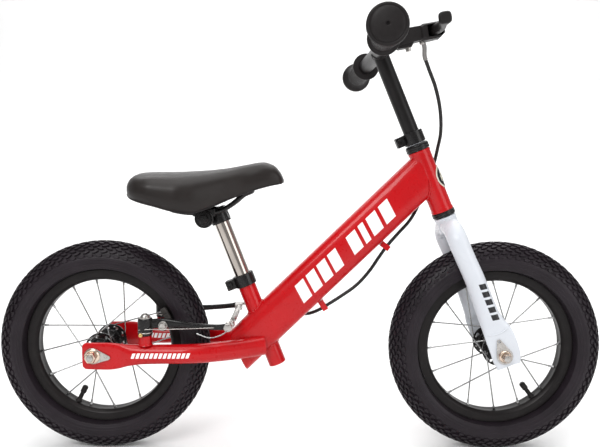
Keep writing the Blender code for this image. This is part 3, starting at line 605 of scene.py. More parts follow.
M_DARK = finish_mat("dark_recess", (0.004, 0.004, 0.004), (0.007, 0.006, 0.006), 0.7,
                    0.08, scale=200.0, fine=600.0, bump=(0.05, 900.0, 0.0001))


def saddle_material():
    t = Tree("saddle_vinyl")
    big = t.ramp(t.noise(16.0, 4.0), 0.3, 0.7, 0.0, 1.0)
    col = t.mix(big, (0.0105, 0.0076, 0.0068), (0.0158, 0.0118, 0.0106))
    grain = t.cells(1500.0)
    col = t.mix(t.ramp(grain, 0.0, 0.9, 0.35, 0.0), col, (0.0065, 0.0052, 0.0050))
    t.link(col, t.b.inputs["Base Color"])
    t.link(t.ramp(t.noise(120.0, 3.0), 0.3, 0.7, 0.34, 0.43), t.b.inputs["Roughness"])
    h = t.math("ADD", t.math("MULTIPLY", grain, 0.8), t.noise(2600.0, 2.0))
    t.bump(h, 0.22, 0.0002)
    t.set(Sheen_Weight=0.01, Sheen_Roughness=0.5, Specular_IOR_Level=0.28)
    return t.m


M_SADDLE = saddle_material()

# ------------------------------------------------------------------ main frame
BEAM_ST = [(0.0377, 0.372, BEAM_W), (0.2600, 0.0, BEAM_W), (0.3400, 0.15, 0.0190),
           (0.3800, 0.30, 0.0168), (0.4087, 0.391, 0.0150)]
BEAM_D = dense(BEAM_ST, 46, 1)


def beam_width(s):
    return float(np.interp(s, BEAM_D[:, 0], BEAM_D[:, 2]))


def in_beam(p, grow=0.0):
    s, h = p.dot(B_DIR), p.dot(B_NRM) - BEAM_OFFSET
    if not 0.03 < s < 0.41:
        return False
    return (abs(p.y / (beam_width(s) + grow)) ** 3
            + abs(h / (BEAM_H + grow)) ** 3) < 1.0


def in_head(p):
    d = p - HEAD_BOTTOM
    t = d.dot(S_UP)
    return -0.01 < t < HEAD_LEN + 0.01 and (d - S_UP * t).length < HEAD_R


rings = [[B(s + k * v * BEAM_H, v * BEAM_H, u * w) for u, v in oval(72, 3.0)]
         for s, k, w in BEAM_D]
main = soft(skin("main_tube_skin", rings), 0.0012, 3, 40)
place(main, "frame", M_BEAM, "red_paint", "main_tube")

front = [[B(s, v * BEAM_H, u * beam_width(s)) for s in np.linspace(0.33, 0.405, 24)]
         for u, v in oval(120, 3.0)]
ring = crossing([[front[j][i] for j in range(120)] for i in range(24)], in_head)
weld_pts = [bead("weld_head", ring, 0.0017)]


def seat_ring(sign):
    out = []
    for j in range(96):
        a = 2 * math.pi * j / 96
        y, f = SEAT_TUBE_R * math.sin(a), SEAT_TUBE_R * math.cos(a)
        h = sign * BEAM_H * (1 - abs(y / BEAM_W) ** 3) ** (1 / 3)
        base = P(0, f, y)
        t = (BEAM_OFFSET + h - base.dot(B_NRM)) / P_UP.dot(B_NRM)
        out.append(base + P_UP * t)
    return out


weld_pts.append(bead("weld_seat_top", seat_ring(1), 0.0016))
tops = [p.dot(P_UP) - SEAT_BOTTOM.dot(P_UP) for p in seat_ring(-1)]
if min(tops) > 0.002:
    weld_pts.append(bead("weld_seat_low", seat_ring(-1), 0.0016))

head = lathe("head_tube_skin", [(HEAD_R, 0), (HEAD_R + 0.0006, 0.0004),
             (HEAD_R + 0.0006, 0.0030), (HEAD_R, 0.0042), (HEAD_R, HEAD_LEN - 0.0042),
             (HEAD_R + 0.0006, HEAD_LEN - 0.0030), (HEAD_R + 0.0006, HEAD_LEN - 0.0004),
             (HEAD_R, HEAD_LEN), (0.0136, HEAD_LEN), (0.0136, 0)], S(0), S_UP, 96)
place(soft(head, 0.0003, 2, 30), "frame", M_RED, "red_paint", "head_tube")
seat = tube("seat_tube_skin", P(0), P(SEAT_TUBE_LEN), SEAT_TUBE_R, 0.0115, 96)
place(soft(seat, 0.0005, 2, 40), "frame", M_RED, "red_paint", "seat_tube")

for name, prof in (("upper", [(0.0150, 0.0932), (0.0164, 0.0936), (0.0170, 0.0945),
                              (0.0170, 0.0968), (0.0165, 0.0972), (0.0165, 0.0978),
                              (0.0169, 0.0983), (0.0169, 0.1005), (0.0160, 0.1022),
                              (0.0148, 0.1031), (0.0132, 0.1031), (0.0132, 0.0932)]),
                   ("lower", [(0.0150, -0.0072), (0.0162, -0.0070), (0.0168, -0.0060),
                              (0.0168, -0.0040), (0.0163, -0.0036), (0.0163, -0.0030),
                              (0.0168, -0.0026), (0.0168, -0.0008), (0.0160, -0.0003),
                              (0.0132, -0.0003), (0.0132, -0.0072)])):
    cup = soft(lathe("headset_%s_cup" % name, prof, S(0), S_UP, 96), 0.0002, 1, 35)
    place(cup, "frame", M_GLOSS, "black_metal", "headset_" + name)

STAY = [(-0.2975, 0.0595, 0.1517, 0.0150, 0.0025, 2.6),
        (-0.2930, 0.0595, 0.1517, 0.0186, 0.0025, 2.8),
        (-0.2620, 0.0595, 0.1515, 0.0190, 0.0025, 2.8),
        (-0.2500, 0.0590, 0.1517, 0.0178, 0.0032, 2.6),
        (-0.2360, 0.0560, 0.1520, 0.0152, 0.0080, 2.2),
        (-0.2150, 0.0525, 0.1523, 0.0138, 0.0108, 2.0),
        (-0.1650, 0.0515, 0.1527, 0.0134, 0.0112, 2.0),
        (-0.1350, 0.0475, 0.1528, 0.0135, 0.0112, 2.0),
        (-0.1050, 0.0375, 0.1530, 0.0138, 0.0112, 2.0),
        (-0.0760, 0.0268, 0.1540, 0.0139, 0.0110, 2.0),
        (-0.0500, 0.0180, 0.1560, 0.0138, 0.0108, 2.0)]
for side, g in (("right", -1), ("left", 1)):
    rows = [(Vector((r[0], g * r[1], r[2])), r[3], r[4], r[5])
            for r in dense(STAY, 90)]
    rings = sweep(rows, Z, 56)
    stay = soft(skin("chainstay_%s_skin" % side, rings), 0.0007, 2, 45)
    place(stay, "frame", M_STAY, "red_paint", "chainstay_" + side)
    hit = crossing(rings, in_beam)
    if len(hit) > 50:
        weld_pts.append(bead("weld_stay_" + side, hit, 0.0014))
    bx, by = BRAKE_X, g * BRAKE_Y
    boss = lathe("brake_boss_%s_skin" % side,
                 [(0, 0.1660), (0.0100, 0.1660), (0.0091, 0.1676), (0.0088, 0.1690),
                  (0.0088, 0.1790), (0.0084, 0.1797), (0.0044, 0.1798),
                  (0.0044, 0.2048), (0, 0.2048)], (bx, by, 0), Z, 64, closed=False)
    place(soft(boss, 0.0002, 1, 40), "frame", M_RED, "red_paint", "brake_boss_" + side)
    cap = lathe("brake_pivot_bolt_" + side,
                [(0, 0.2046), (0.0062, 0.2046), (0.0064, 0.2052), (0.0064, 0.2062),
                 (0.0054, 0.2078), (0.0044, 0.2090), (0.0032, 0.2097), (0.0024, 0.2099),
                 (0.0022, 0.2080), (0, 0.2078)], (bx, by, 0), Z, 48, closed=False)
    place(soft(cap, 0.0, 1, 40), "frame", M_STEEL, "steel")

welds = soft(join("frame_welds", weld_pts))
place(welds, "frame", M_RED, "red_paint")


# ------------------------------------------------------------------ clamps
def socket_bolt(name, at, axis, length, r=0.0046, head=0.0044, hex_r=0.0022):
    """Cap screw lying along axis, centred at a point, with a nut at its far end."""
    a = Vector(axis).normalized()
    o = Vector(at) - a * length / 2
    body = lathe(name, [(0, 0), (0.0025, 0), (0.0025, length), (0, length)], o, a, 24,
                 closed=False)
    cap = lathe(name + "_cap", [(0, -head), (r - 0.0006, -head), (r, -head + 0.0007),
                                (r, 0.0002), (0, 0.0002)], o, a, 40, closed=False)
    tool = lathe(name + "_key", [(0, -head - 0.001), (hex_r, -head - 0.001),
                                 (hex_r, -head * 0.35), (0, -head * 0.35)], o, a, 6,
                 closed=False)
    cap = boolean(cap, tool)
    e = o + a * length
    nut = lathe(name + "_nut", [(0, -0.0002), (0.0046, -0.0002), (0.0046, 0.0022),
                                (0.0040, 0.0029), (0, 0.0029)], e, a, 6, closed=False)
    return soft(join(name, [body, cap, nut]), 0.00022, 2, 35)


def clamp(name, at, t0, t1, ro, ri, lug, l0, l1, up_, f_, body):
    ring_ = lathe(name + "_ring",
                  [(ro - 0.0006, t0), (ro, t0 + 0.0007), (ro, t1 - 0.0007),
                   (ro - 0.0006, t1), (ri, t1), (ri, t0)], at(0), up_, 96)
    ears = []
    for g in (-1, 1):
        m = frame_at(at((l0 + l1) / 2, -(ri + 0.0005 + lug) / 2, g * 0.00400), f_, up_)
        ears.append(soft(block(name + "_ear", m, (lug - ri - 0.0005, 0.0060, l1 - l0)),
                         0.0012, 3))
    hole = at((l0 + l1) / 2, -lug + 0.0055)
    ob = soft(join(name + "_collar", [ring_] + ears), 0.0, 1, 40)
    place(ob, body, M_GLOSS, "black_metal", name)
    bolt = socket_bolt(name + "_screw", hole, Y, 0.0142)
    place(bolt, body, M_GLOSS, "steel", name + "_bolt")


clamp("seat_clamp", P, 0.1240, 0.1410, 0.0155, 0.0129, 0.0276, 0.1250, 0.1395, P_UP,
      P_FWD, "frame")
clamp("bar_clamp", S, 0.1042, 0.1213, 0.0152, 0.0129, 0.0262, 0.1065, 0.1210, S_UP,
      S_FWD, "fork")


# ------------------------------------------------------------------ head badge
def badge_plate(name, r, a0, a1, mid, half, thick, power=0.5, span=1.0, off=0.0):
    """Plate bent round the head tube, rounded towards its ends."""
    rings_, n = [], 36
    for i in range(n + 1):
        a = a0 + (a1 - a0) * i / n
        k = max(0.05, 1.0 - min(1.0, abs(a / span)) ** 2.2) ** power * half
        rings_.append([S(tt, rr * math.cos(a), rr * math.sin(a)) for rr, tt in
                       ((r, mid + off - k), (r + thick, mid + off - k),
                        (r + thick, mid + off + k), (r, mid + off + k))])
    return skin(name, rings_)


plate = badge_plate("badge_edge", HEAD_R + 0.0001, -1.10, 1.10, 0.0471, 0.0175, 0.0008,
                    span=1.12)
place(soft(plate, 0.0002, 1, 50), "frame", M_CREAM, "black_metal", "head_badge")
plate = badge_plate("badge_face", HEAD_R + 0.0002, -0.97, 0.97, 0.0471, 0.0150, 0.0011,
                    span=1.00)
place(soft(plate, 0.0002, 1, 50), "frame", M_GLOSS, "black_metal")
marks = []
for g in (-1, 1):
    for a, k, o_ in ((0.30, 0.0085, 0.0), (0.47, 0.0060, 0.0018), (0.62, 0.0042, -0.0016)):
        marks.append(badge_plate("m", HEAD_R + 0.0006, g * a - 0.045, g * a + 0.045,
                                 0.0471, k, 0.0010, power=0.0, off=o_))
star = [(0.0060 * math.cos(a) * (1 if i % 2 else 0.55),
         0.0075 * math.sin(a) * (1 if i % 2 else 0.55))
        for i, a in ((i, 2 * math.pi * i / 8) for i in range(8))]
marks.append(prism("badge_diamond", star, S(0.0471, HEAD_R + 0.0008), Y, S_UP, 0.0008))
place(soft(join("badge_emblem", marks), 0.0001, 1, 40), "frame", M_CREAM,
      "black_metal")


# ------------------------------------------------------------------ axle hardware
def drop_outline(r, tip, tip_r, n=28):
    """Teardrop about the origin, its tip along +x."""
    out = []
    lean = math.acos((r - tip_r) / tip)
    for i in range(n + 1):
        a = lean + (2 * math.pi - 2 * lean) * i / n
        out.append((r * math.cos(a), r * math.sin(a)))
    for i in range(9):
        a = -lean + 2 * lean * i / 8
        out.append((tip + tip_r * math.cos(a), tip_r * math.sin(a)))
    return out


def hardware(name, x, g, face, tab, tip, body, nut_node, hole):
    o = Vector((x, g * face, TYRE_R))
    tab = Vector(tab).normalized()
    side = (Y * g).cross(tab)
    washer = prism(name + "_washer", drop_outline(0.0112, tip, 0.0030), o, tab, side,
                   0.0016)
    if hole:
        washer = boolean(washer, cyl("k", o + tab * (tip - 0.0002) - Y * g * 0.001,
                                     o + tab * (tip - 0.0002) + Y * g * 0.003, 0.0017,
                                     24))
    place(soft(washer, 0.00035, 2, 40), body, M_STEEL, "steel")
    k = 1.0 if tip > 0.02 and not hole else 0.80
    flange = lathe(name + "_flange", [(0.0046, 0.0014), (0.0106 * k, 0.0014),
                   (0.0110 * k, 0.0020), (0.0104 * k, 0.0028), (0.0092 * k, 0.0040),
                   (0.0046, 0.0044)], o, Y * g, 64)
    nut_ = lathe(name + "_hex", [(0.0046, 0.0036), (0.0083 * k, 0.0036),
                 (0.0083 * k, 0.0102), (0.0074 * k, 0.0117), (0.0056, 0.0122),
                 (0.0046, 0.0118)], o, Y * g, 6)
    ob = soft(join(name + "_nut", [flange, nut_]), 0.0004, 2, 32)
    place(ob, body, M_WARM, "steel", nut_node)


def axle(name, x, reach, body, node):
    prof = [(0, -reach)]
    n = int(2 * reach / 0.0005)
    for i in range(n + 1):
        d = -reach + 2 * reach * i / n
        edge = min(1.0, (reach - abs(d)) / 0.0008)
        prof.append((0.0040 + 0.0005 * edge + (0.00025 if i % 2 else -0.00005), d))
    prof.append((0, reach))
    ob = lathe(name + "_rod", prof, (x, 0, TYRE_R), Y, 32, closed=False)
    place(soft(ob, 0, 1, 30, 70), body, M_STEEL, "steel", node)


axle("rear_axle", -WHEEL_X, 0.0758, "frame", "rear_axle")
axle("front_axle", WHEEL_X, 0.0693, "fork", "front_axle")
for side, g in (("right", -1), ("left", 1)):
    hardware("rear_" + side, -WHEEL_X, g, 0.0624, (1.0, 0, -0.10), 0.0215, "frame",
             "rear_nut_" + side, False)
    hardware("front_" + side, WHEEL_X, g, 0.0556, (-0.38, 0, 0.92), 0.0225, "fork",
             "front_nut_" + side, True)

# ------------------------------------------------------------------ fork
steer = tube("steerer_skin", S(-0.0077), S(0.1206), STEERER_R, 0.0117, 72)
place(soft(steer, 0.0003, 2, 40), "fork", M_WHITE, "white_paint", "fork_steerer")
CROWN = [(-0.0475, -0.0032, -0.0445), (-0.0420, -0.0030, -0.0440),
         (-0.0330, -0.0022, -0.0390), (-0.0255, -0.0012, -0.0270),
         (-0.0222, -0.0006, -0.0120), (-0.0215, -0.0005, 0.0)]
LEG = [(-0.0478, -0.0032, 0.0445, 0.0137, 0.0116, 2.0),
       (-0.0650, -0.0028, 0.0445, 0.0136, 0.0115, 2.0),
       (-0.1000, -0.0015, 0.0445, 0.0138, 0.0112, 2.0),
       (-0.1500, -0.0024, 0.0452, 0.0150, 0.0102, 2.1),
       (-0.1680, -0.0014, 0.0475, 0.0172, 0.0076, 2.3),
       (-0.1800, -0.0005, 0.0518, 0.0195, 0.0034, 2.6),
       (-0.1900, -0.0003, 0.0526, 0.0200, 0.0026, 2.8),
       (-0.2050, -0.0008, 0.0526, 0.0200, 0.0026, 2.8),
       (-0.2190, -0.0027, 0.0526, 0.0190, 0.0026, 2.8),
       (-0.2270, -0.0045, 0.0526, 0.0155, 0.0026, 2.6)]
rows = [(t, f, -y, a, b, p) for t, f, y, a, b, p in reversed(LEG)]
rows += [(t, f, y, 0.0137, 0.0116, 2.0) for t, f, y in CROWN[1:]]
rows += [(t, f, -y, 0.0137, 0.0116, 2.0) for t, f, y in reversed(CROWN[1:-1])]
rows += list(LEG)
fork_rows = dense(rows, 230)
st = [(S(r[0], r[1], r[2]), r[3], r[4], r[5]) for r in fork_rows]
fork = skin("fork_blades", sweep(st, S_FWD, 56, {0: S_UP, len(st) - 1: -S_UP}))
place(soft(fork, 0.0008, 2, 45), "fork", M_WHITE, "white_paint", "fork_crown",
      "fork_leg_right", "fork_leg_left")
boss = lathe("fork_crown_boss", [(0, -0.0330), (0.0150, -0.0300), (0.0156, -0.0140),
             (0.0158, -0.0095), (0.0154, -0.0082), (0, -0.0082)], S(0), S_UP, 96,
             closed=False)
place(soft(boss, 0.0004, 2, 40), "fork", M_WHITE, "white_paint")


def in_boss(p):
    d = p - HEAD_BOTTOM
    t = d.dot(S_UP)
    return t < 0 and (d - S_UP * t).length < 0.0156


half_st = [s_ for s_, r in zip(st, fork_rows) if r[2] <= 0.0 and r[0] > -0.06]
welds = []
for g in (-1, 1):
    part = [(Vector((c.x, g * -abs(c.y) * -1 if g > 0 else c.y, c.z)), a, b, p)
            for c, a, b, p in half_st]
    hit = crossing(sweep(part, S_FWD, 72), in_boss)
    if len(hit) > 20:
        welds.append(bead("weld_crown", hit, 0.0012))
# ridge where the leg is pressed on to the drop-out plate
for g in (-1, 1):
    pts = []
    for i in range(15):
        u = -1 + 2 * i / 14
        f = 0.0185 * u
        pts.append(S(-0.1785 + 0.0035 * u * u, f - 0.0004,
                     g * (0.0518 + 0.0034 * (1 - abs(u) ** 3) ** 0.5)))
    welds.append(pipe("ridge", pts, [0.0007 * (1 - abs(-1 + 2 * i / 14) ** 4) + 0.0002
                                     for i in range(15)], 10))
if welds:
    place(soft(join("fork_welds", welds)), "fork", M_WHITE, "white_paint")

# ------------------------------------------------------------------ handlebar
BAR_END = 0.2050
ys = np.linspace(-BAR_END, BAR_END, 81)
bar = skin("handlebar_bar", sweep([(bar_point(y), BAR_R, BAR_R) for y in ys], Z, 64))
place(soft(bar, 0.0006, 2, 45), "handlebar", M_BLACK, "black_metal",
      "handlebar_crossbar")
riser = lathe("handlebar_stem", [(BAR_R, 0.0450), (BAR_R, BAR_T - 0.004),
              (0.0095, BAR_T - 0.004), (0.0095, 0.0450)], S(0), S_UP, 72)
place(soft(riser, 0.0004, 2, 40), "handlebar", M_BLACK, "black_metal",
      "handlebar_riser")


def in_bar(p):
    c = bar_point(p.y)
    return math.hypot(p.x - c.x, p.z - c.z) < BAR_R


rings = [[S(t, BAR_R * math.cos(a), BAR_R * math.sin(a))
          for a in (2 * math.pi * j / 96 for j in range(96))]
         for t in np.linspace(BAR_T - 0.03, BAR_T - 0.0002, 60)]
hit = crossing(rings, in_bar)
if len(hit) > 60:
    place(soft(bead("bar_weld", hit, 0.0016)), "handlebar", M_BLACK, "black_metal")

GRIP = [(0.0112, 0.0), (0.0196, 0.0), (0.0205, 0.0005), (0.0208, 0.0014),
        (0.0208, 0.0026), (0.0203, 0.0036), (0.0190, 0.0044), (0.0172, 0.0052),
        (0.0161, 0.0066), (0.0156, 0.0090)]
d = 0.0105
while d < 0.0790:
    GRIP += [(0.0156, d), (0.0159, d + 0.0004), (0.0159, d + 0.0022),
             (0.0156, d + 0.0026), (0.0152, d + 0.0030), (0.0152, d + 0.0036)]
    d += 0.0042
GRIP += [(0.0156, 0.0800), (0.0162, 0.0822), (0.0178, 0.0858), (0.0200, 0.0888),
         (0.0220, 0.0908), (0.0231, 0.0920), (0.0236, 0.0932), (0.0237, 0.0946),
         (0.0236, 0.0956), (0.0230, 0.0961), (0.0226, 0.0965), (0.0226, 0.0973),
         (0.0230, 0.0977), (0.0235, 0.0980), (0.0236, 0.0990), (0.0234, 0.1003),
         (0.0227, 0.1014), (0.0217, 0.1020), (0.0208, 0.1020), (0.0202, 0.1015),
         (0.0198, 0.1013), (0.0194, 0.1015), (0.0188, 0.1024), (0.0176, 0.1031),
         (0.0150, 0.1037), (0.0120, 0.1041), (0.0080, 0.1045), (0.0050, 0.1047),
         (0.0032, 0.1048), (0.0024, 0.1046), (0.0019, 0.1040), (0.0018, 0.1020),
         (0.0, 0.1018), (0.0, 0.0985), (0.0112, 0.0985)]
for side, g in (("right", -1), ("left", 1)):
    a, b = bar_point(g * 0.1075), bar_point(g * GRIP_END_Y)
    grip = lathe("grip_%s_rubber" % side, GRIP, a, b - a, 96)
    place(soft(grip, 0, 1, 30, 60), "handlebar", M_GRIP, "rubber", "grip_" + side)

# ------------------------------------------------------------------ brake lever
L_FWD = Vector((math.cos(math.radians(9.8)), 0, math.sin(math.radians(9.8))))
L_UP = Vector((-L_FWD.z, 0, L_FWD.x))
L_O = bar_point(-0.0960)


def L(a, y, h=0.0):
    return Vector((L_O.x, y, L_O.z)) + L_FWD * a + L_UP * h


band = lathe("p_band", [(0.0148, 0.0), (0.0157, 0.0009), (0.0157, 0.0171),
                        (0.0148, 0.0180), (0.0113, 0.0180), (0.0113, 0.0)],
             bar_point(-0.1055), bar_point(-0.0875) - bar_point(-0.1055), 72)
neck = soft(hull("p_neck", [L(a, y, h) for a, h0, h1, w in
            ((0.0120, -0.0120, 0.0085, 0.0085), (0.0300, -0.0095, 0.0075, 0.0070),
             (0.0500, -0.0085, 0.0085, 0.0095))
            for h in (h0, h1) for y in (-0.0965 - w, -0.0965 + w)]), 0.0014, 3, 25)
lug = soft(hull("p_lug", [L(a, y, h) for a, h in
           ((0.0160, -0.0150), (0.0330, -0.0150), (0.0380, -0.0070), (0.0120, -0.0070))
           for y in (-0.1035, -0.0895)]), 0.0012, 3, 25)
SIDE = [(0.0455, -0.0085), (0.0455, 0.0075), (0.0500, 0.0100), (0.0735, 0.0100),
        (0.0752, 0.0080), (0.0752, -0.0048), (0.0690, -0.0098), (0.0520, -0.0104)]
pts = []
for y, k in ((-0.1080, 0.80), (-0.1050, 1.0), (-0.0870, 1.0), (-0.0840, 0.86)):
    for a, h in SIDE:
        pts.append(L(0.0605 + (a - 0.0605) * (k + 0.04), y, h * k))
body = hull("p_body", pts)
body = boolean(body, block("k", frame_at(L(0.0640, -0.1000), L_FWD, L_UP),
                           (0.0190, 0.0250, 0.0146)))
body = soft(body, 0.0007, 3, 28)
barrel = lathe("p_barrel", [(0.0, 0.0), (0.0050, 0.0), (0.0050, 0.0100),
               (0.0046, 0.0104), (0.0046, 0.0112), (0.0052, 0.0116), (0.0052, 0.0150),
               (0.0044, 0.0160), (0.0, 0.0160)], L(0.0540, -0.0860), Y, 40,
               closed=False)
pin = lathe("p_pin", [(0, -0.0104), (0.0040, -0.0104), (0.0043, -0.0098),
                      (0.0043, -0.0085), (0.0023, -0.0085), (0.0023, 0.0085),
                      (0.0043, 0.0085), (0.0043, 0.0100), (0.0036, 0.0106),
                      (0, 0.0106)], L(0.0640, -0.0950), L_UP, 40, closed=False)
perch = join("lever_perch_body", [band, neck, lug, body, barrel])
place(soft(perch, 0, 1, 30, 50), "handlebar", M_PLASTIC, "black_plastic",
      "lever_perch")
place(soft(pin, 0.0002, 2, 35), "handlebar", M_GLOSS, "black_plastic").name = \
    "lever_pivot_pin"
b1 = lathe("b1", [(0, -0.0195), (0.0016, -0.0195), (0.0030, -0.0192), (0.0032, -0.0186),
                  (0.0032, -0.0150), (0.0045, -0.0149), (0.0045, -0.0143), (0, -0.0143)],
           L(0.0290, -0.0965), L_UP, 32, closed=False)
b2 = lathe("b2", [(0, -0.0136), (0.0024, -0.0134), (0.0030, -0.0128), (0.0030, -0.0095),
                  (0, -0.0095)], L(0.0470, -0.0965), L_UP, 32, closed=False)
place(soft(join("lever_screws", [b1, b2]), 0.0002, 2, 35), "handlebar", M_STEEL,
      "steel")

BLADE = [(0.0640, -0.0900, 0.0048, 0.0062), (0.0640, -0.1000, 0.0050, 0.0064),
         (0.0655, -0.1130, 0.0048, 0.0064), (0.0668, -0.1240, 0.0044, 0.0064),
         (0.0655, -0.1400, 0.0042, 0.0064), (0.0625, -0.1560, 0.0048, 0.0068),
         (0.0615, -0.1660, 0.0066, 0.0072), (0.0612, -0.1715, 0.0076, 0.0072),
         (0.0612, -0.1745, 0.0062, 0.0060)]
rows = dense(BLADE, 70, 2)
st = [(L(a, y), hb, wb, 3.2) for a, y, wb, hb in rows]
blade = skin("lever_blade", sweep(st, L_UP, 48))
blade = soft(blade, 0.0011, 3, 50)
place(blade, "brake_lever", M_PLASTIC, "black_plastic", "brake_lever")
# finger groove plate along the inner face of the blade
rows2 = [(L(a - wb * 0.92, y), hb * 0.62, 0.0007, 3.0) for a, y, wb, hb in rows[22:60]]
place(soft(skin("lever_blade_inlay", sweep(rows2, L_UP, 24)), 0.0002, 2, 50),
      "brake_lever", M_GRIP, "black_plastic")


# ------------------------------------------------------------------ wheels
def wheel(name, x, phase, valve_angle):
    o = Vector((x, 0, TYRE_R))
    bodyname = name + "_wheel"
    c = TYRE_R - TYRE_TUBE_R
    prof = []
    for dg in np.linspace(-117, 117, 105):
        e = min(1.0, max(0.0, (abs(dg) - 67) / 15))
        rr = 0.0238 + 0.0023 * e * e * (3 - 2 * e)
        for ridge, w in ((88.0, 1.6), (99.0, 1.5), (106.0, 1.5)):
            rr += 0.0006 * math.exp(-((abs(dg) - ridge) / w) ** 2)
        rr = min(rr, TYRE_TUBE_R)
        prof.append((c + rr * math.cos(math.radians(dg)),
                     rr * math.sin(math.radians(dg))))
    prof += [(0.1122, 0.0138), (0.1118, 0.0108), (0.1085, 0.0100), (0.1085, -0.0100),
             (0.1118, -0.0108), (0.1122, -0.0138)]
    tyre = lathe(name + "_casing", prof, o, Y, 192)
    verts, faces = [], []

    def knob(th, dg, ht, hd, skew):
        base = len(verts)
        for h, k in ((-0.0019, 1.0), (0.0006, 0.92), (0.0012, 0.78)):
            for su, sv in ((1, .5), (.5, 1), (-.5, 1), (-1, .5), (-1, -.5), (-.5, -1),
                           (.5, -1), (1, -.5)):
                a = th + (su * ht * k + skew * sv * hd * 0.0005) / TYRE_R
                q = math.radians(dg + sv * hd * k)
                r = 0.0253 + h
                rad = c + r * math.cos(q)
                verts.append(o + Vector((rad * math.cos(a), r * math.sin(q),
                                         rad * math.sin(a))))
        for lv in (0, 8):
            for j in range(8):
                k2 = (j + 1) % 8
                faces.append((base + lv + j, base + lv + k2, base + lv + 8 + k2,
                              base + lv + 8 + j))
        faces.append(tuple(base + 16 + j for j in range(8)))
        faces.append(tuple(base + j for j in reversed(range(8))))

    n = 68
    for dg, off, ht, hd, sk in ((0, 0.0, 0.0040, 4.6, 0), (11.5, 0.5, 0.0042, 4.6, 1),
                                (23.5, 0.0, 0.0042, 4.8, -1),
                                (35.5, 0.5, 0.0043, 4.8, 1), (47.5, 0.0, 0.0043, 4.8, -1),
                                (59.5, 0.5, 0.0044, 5.0, 1), (72.5, 0.0, 0.0046, 5.4, 0)):
        for g in ((1,) if dg == 0 else (1, -1)):
            for i in range(n):
                knob(2 * math.pi * (i + off) / n, g * dg, ht, hd, g * sk)
    blocks = new(name + "_knobs", verts, faces)
    tyre = join(name + "_tyre_rubber", [tyre, blocks])
    place(soft(tyre, 0, 1, 30, 38), bodyname, M_TYRE, "tyre", name + "_tyre")

    w = 0.0088
    lip = [(RIM_R_IN, -w + 0.002), (RIM_R_IN + 0.0006, -w), (RIM_R_IN + 0.0040, -0.0122),
           (RIM_R_IN + 0.0056, -0.0128), (RIM_R_OUT - 0.0016, -RIM_HALF_W),
           (RIM_R_OUT - 0.0004, -0.0129), (RIM_R_OUT, -0.0122),
           (RIM_R_OUT - 0.0004, -0.0113), (0.0996, -0.0080), (0.0990, -0.0066),
           (0.0990, 0.0066), (0.0996, 0.0080), (RIM_R_OUT - 0.0004, 0.0113),
           (RIM_R_OUT, 0.0122), (RIM_R_OUT - 0.0004, 0.0129),
           (RIM_R_OUT - 0.0016, RIM_HALF_W), (RIM_R_IN + 0.0056, 0.0128),
           (RIM_R_IN + 0.0040, 0.0122), (RIM_R_IN + 0.0006, w), (RIM_R_IN, w - 0.002),
           (RIM_R_IN + 0.0004, 0.0045), (RIM_R_IN + 0.0006, 0.0),
           (RIM_R_IN + 0.0004, -0.0045)]
    rim = lathe(name + "_hoop", lip, o, Y, 192)
    place(soft(rim, 0, 1, 30, 50), bodyname, M_RIM, "rim_black", name + "_rim")

    f0, f1 = HUB_FLANGE_Y - 0.0013, HUB_FLANGE_Y + 0.0013
    e = 0.0478 if name == "front" else 0.0543
    half_ = [(0.0052, e), (0.0080, e), (0.0086, e - 0.0006), (0.0088, e - 0.004),
             (0.0112, e - 0.0065), (0.0124, e - 0.0085), (0.0132, f1 + 0.003),
             (0.0142, f1 + 0.0004), (0.0150, f1), (HUB_FLANGE_R - 0.0005, f1),
             (HUB_FLANGE_R, f1 - 0.0005), (HUB_FLANGE_R, f0 + 0.0005),
             (HUB_FLANGE_R - 0.0005, f0), (0.0146, f0), (0.0128, f0 - 0.0014),
             (0.0116, f0 - 0.0040), (0.0108, f0 - 0.0090)]
    hub = lathe(name + "_shell", half_ + [(r, -z) for r, z in reversed(half_)], o, Y, 80)
    tools = []
    for i in range(8):
        a = math.radians(phase + 45 * i + 11)
        p = o + Vector((math.cos(a), 0, math.sin(a))) * 0.0178
        tools.append(cyl("k", p - Y * 0.03, p + Y * 0.03, 0.0023, 20))
    hub = boolean(hub, join("k", tools))
    place(soft(hub, 0, 1, 30, 45), bodyname, M_GLOSS, "rim_black", name + "_hub")

    for side, g in (("right", -1), ("left", 1)):
        ph = phase if g < 0 else phase + 22.5
        bits = []
        for k in range(8):
            rim_a = ph + 45.0 * k
            turn = (-90.0 if k % 2 == 0 else 90.0) * (1 if g < 0 else -1)
            ha, ra = math.radians(rim_a + turn), math.radians(rim_a)
            lay = 0.0005 if k % 2 else 0.0
            y0 = g * (f1 + SPOKE_R + 0.0002 + lay)
            p0 = Vector((math.cos(ha), 0, math.sin(ha))) * SPOKE_HUB_R
            p2 = Vector((math.cos(ra), 0, math.sin(ra))) * (RIM_R_IN + 0.0010)
            u = 0.0
            while p0.lerp(p2, u).length < HUB_FLANGE_R + 0.0020:
                u += 0.002
            p1 = p0.lerp(p2, u)
            end = Y * g * (0.0025 + lay)
            dirn = ((p2 + end) - (p1 + Y * y0)).normalized()
            run = [o + p0 + Y * (y0 - g * 0.0040), o + p0 + Y * (y0 - g * 0.0010),
                   o + p0.lerp(p1, 0.06) + Y * (y0 - g * 0.0002),
                   o + p0.lerp(p1, 0.16) + Y * y0, o + p0.lerp(p1, 0.8) + Y * y0,
                   o + p1 + Y * y0 + dirn * 0.0006, o + p1 + Y * y0 + dirn * 0.004,
                   o + (p1 + Y * y0).lerp(p2 + end, 0.5), o + p2 + end]
            bits.append(pipe("s", run, SPOKE_R * 0.96, 12))
            bits.append(lathe("n", [(0, -0.0002), (0.00125, 0.0), (0.0015, 0.0006),
                        (0.0015, 0.0052), (0.0021, 0.0060), (0.0023, 0.0075),
                        (0.0021, 0.0085), (0, 0.0086)], o + p2 + end - dirn * 0.0076,
                        dirn, 16, closed=False))
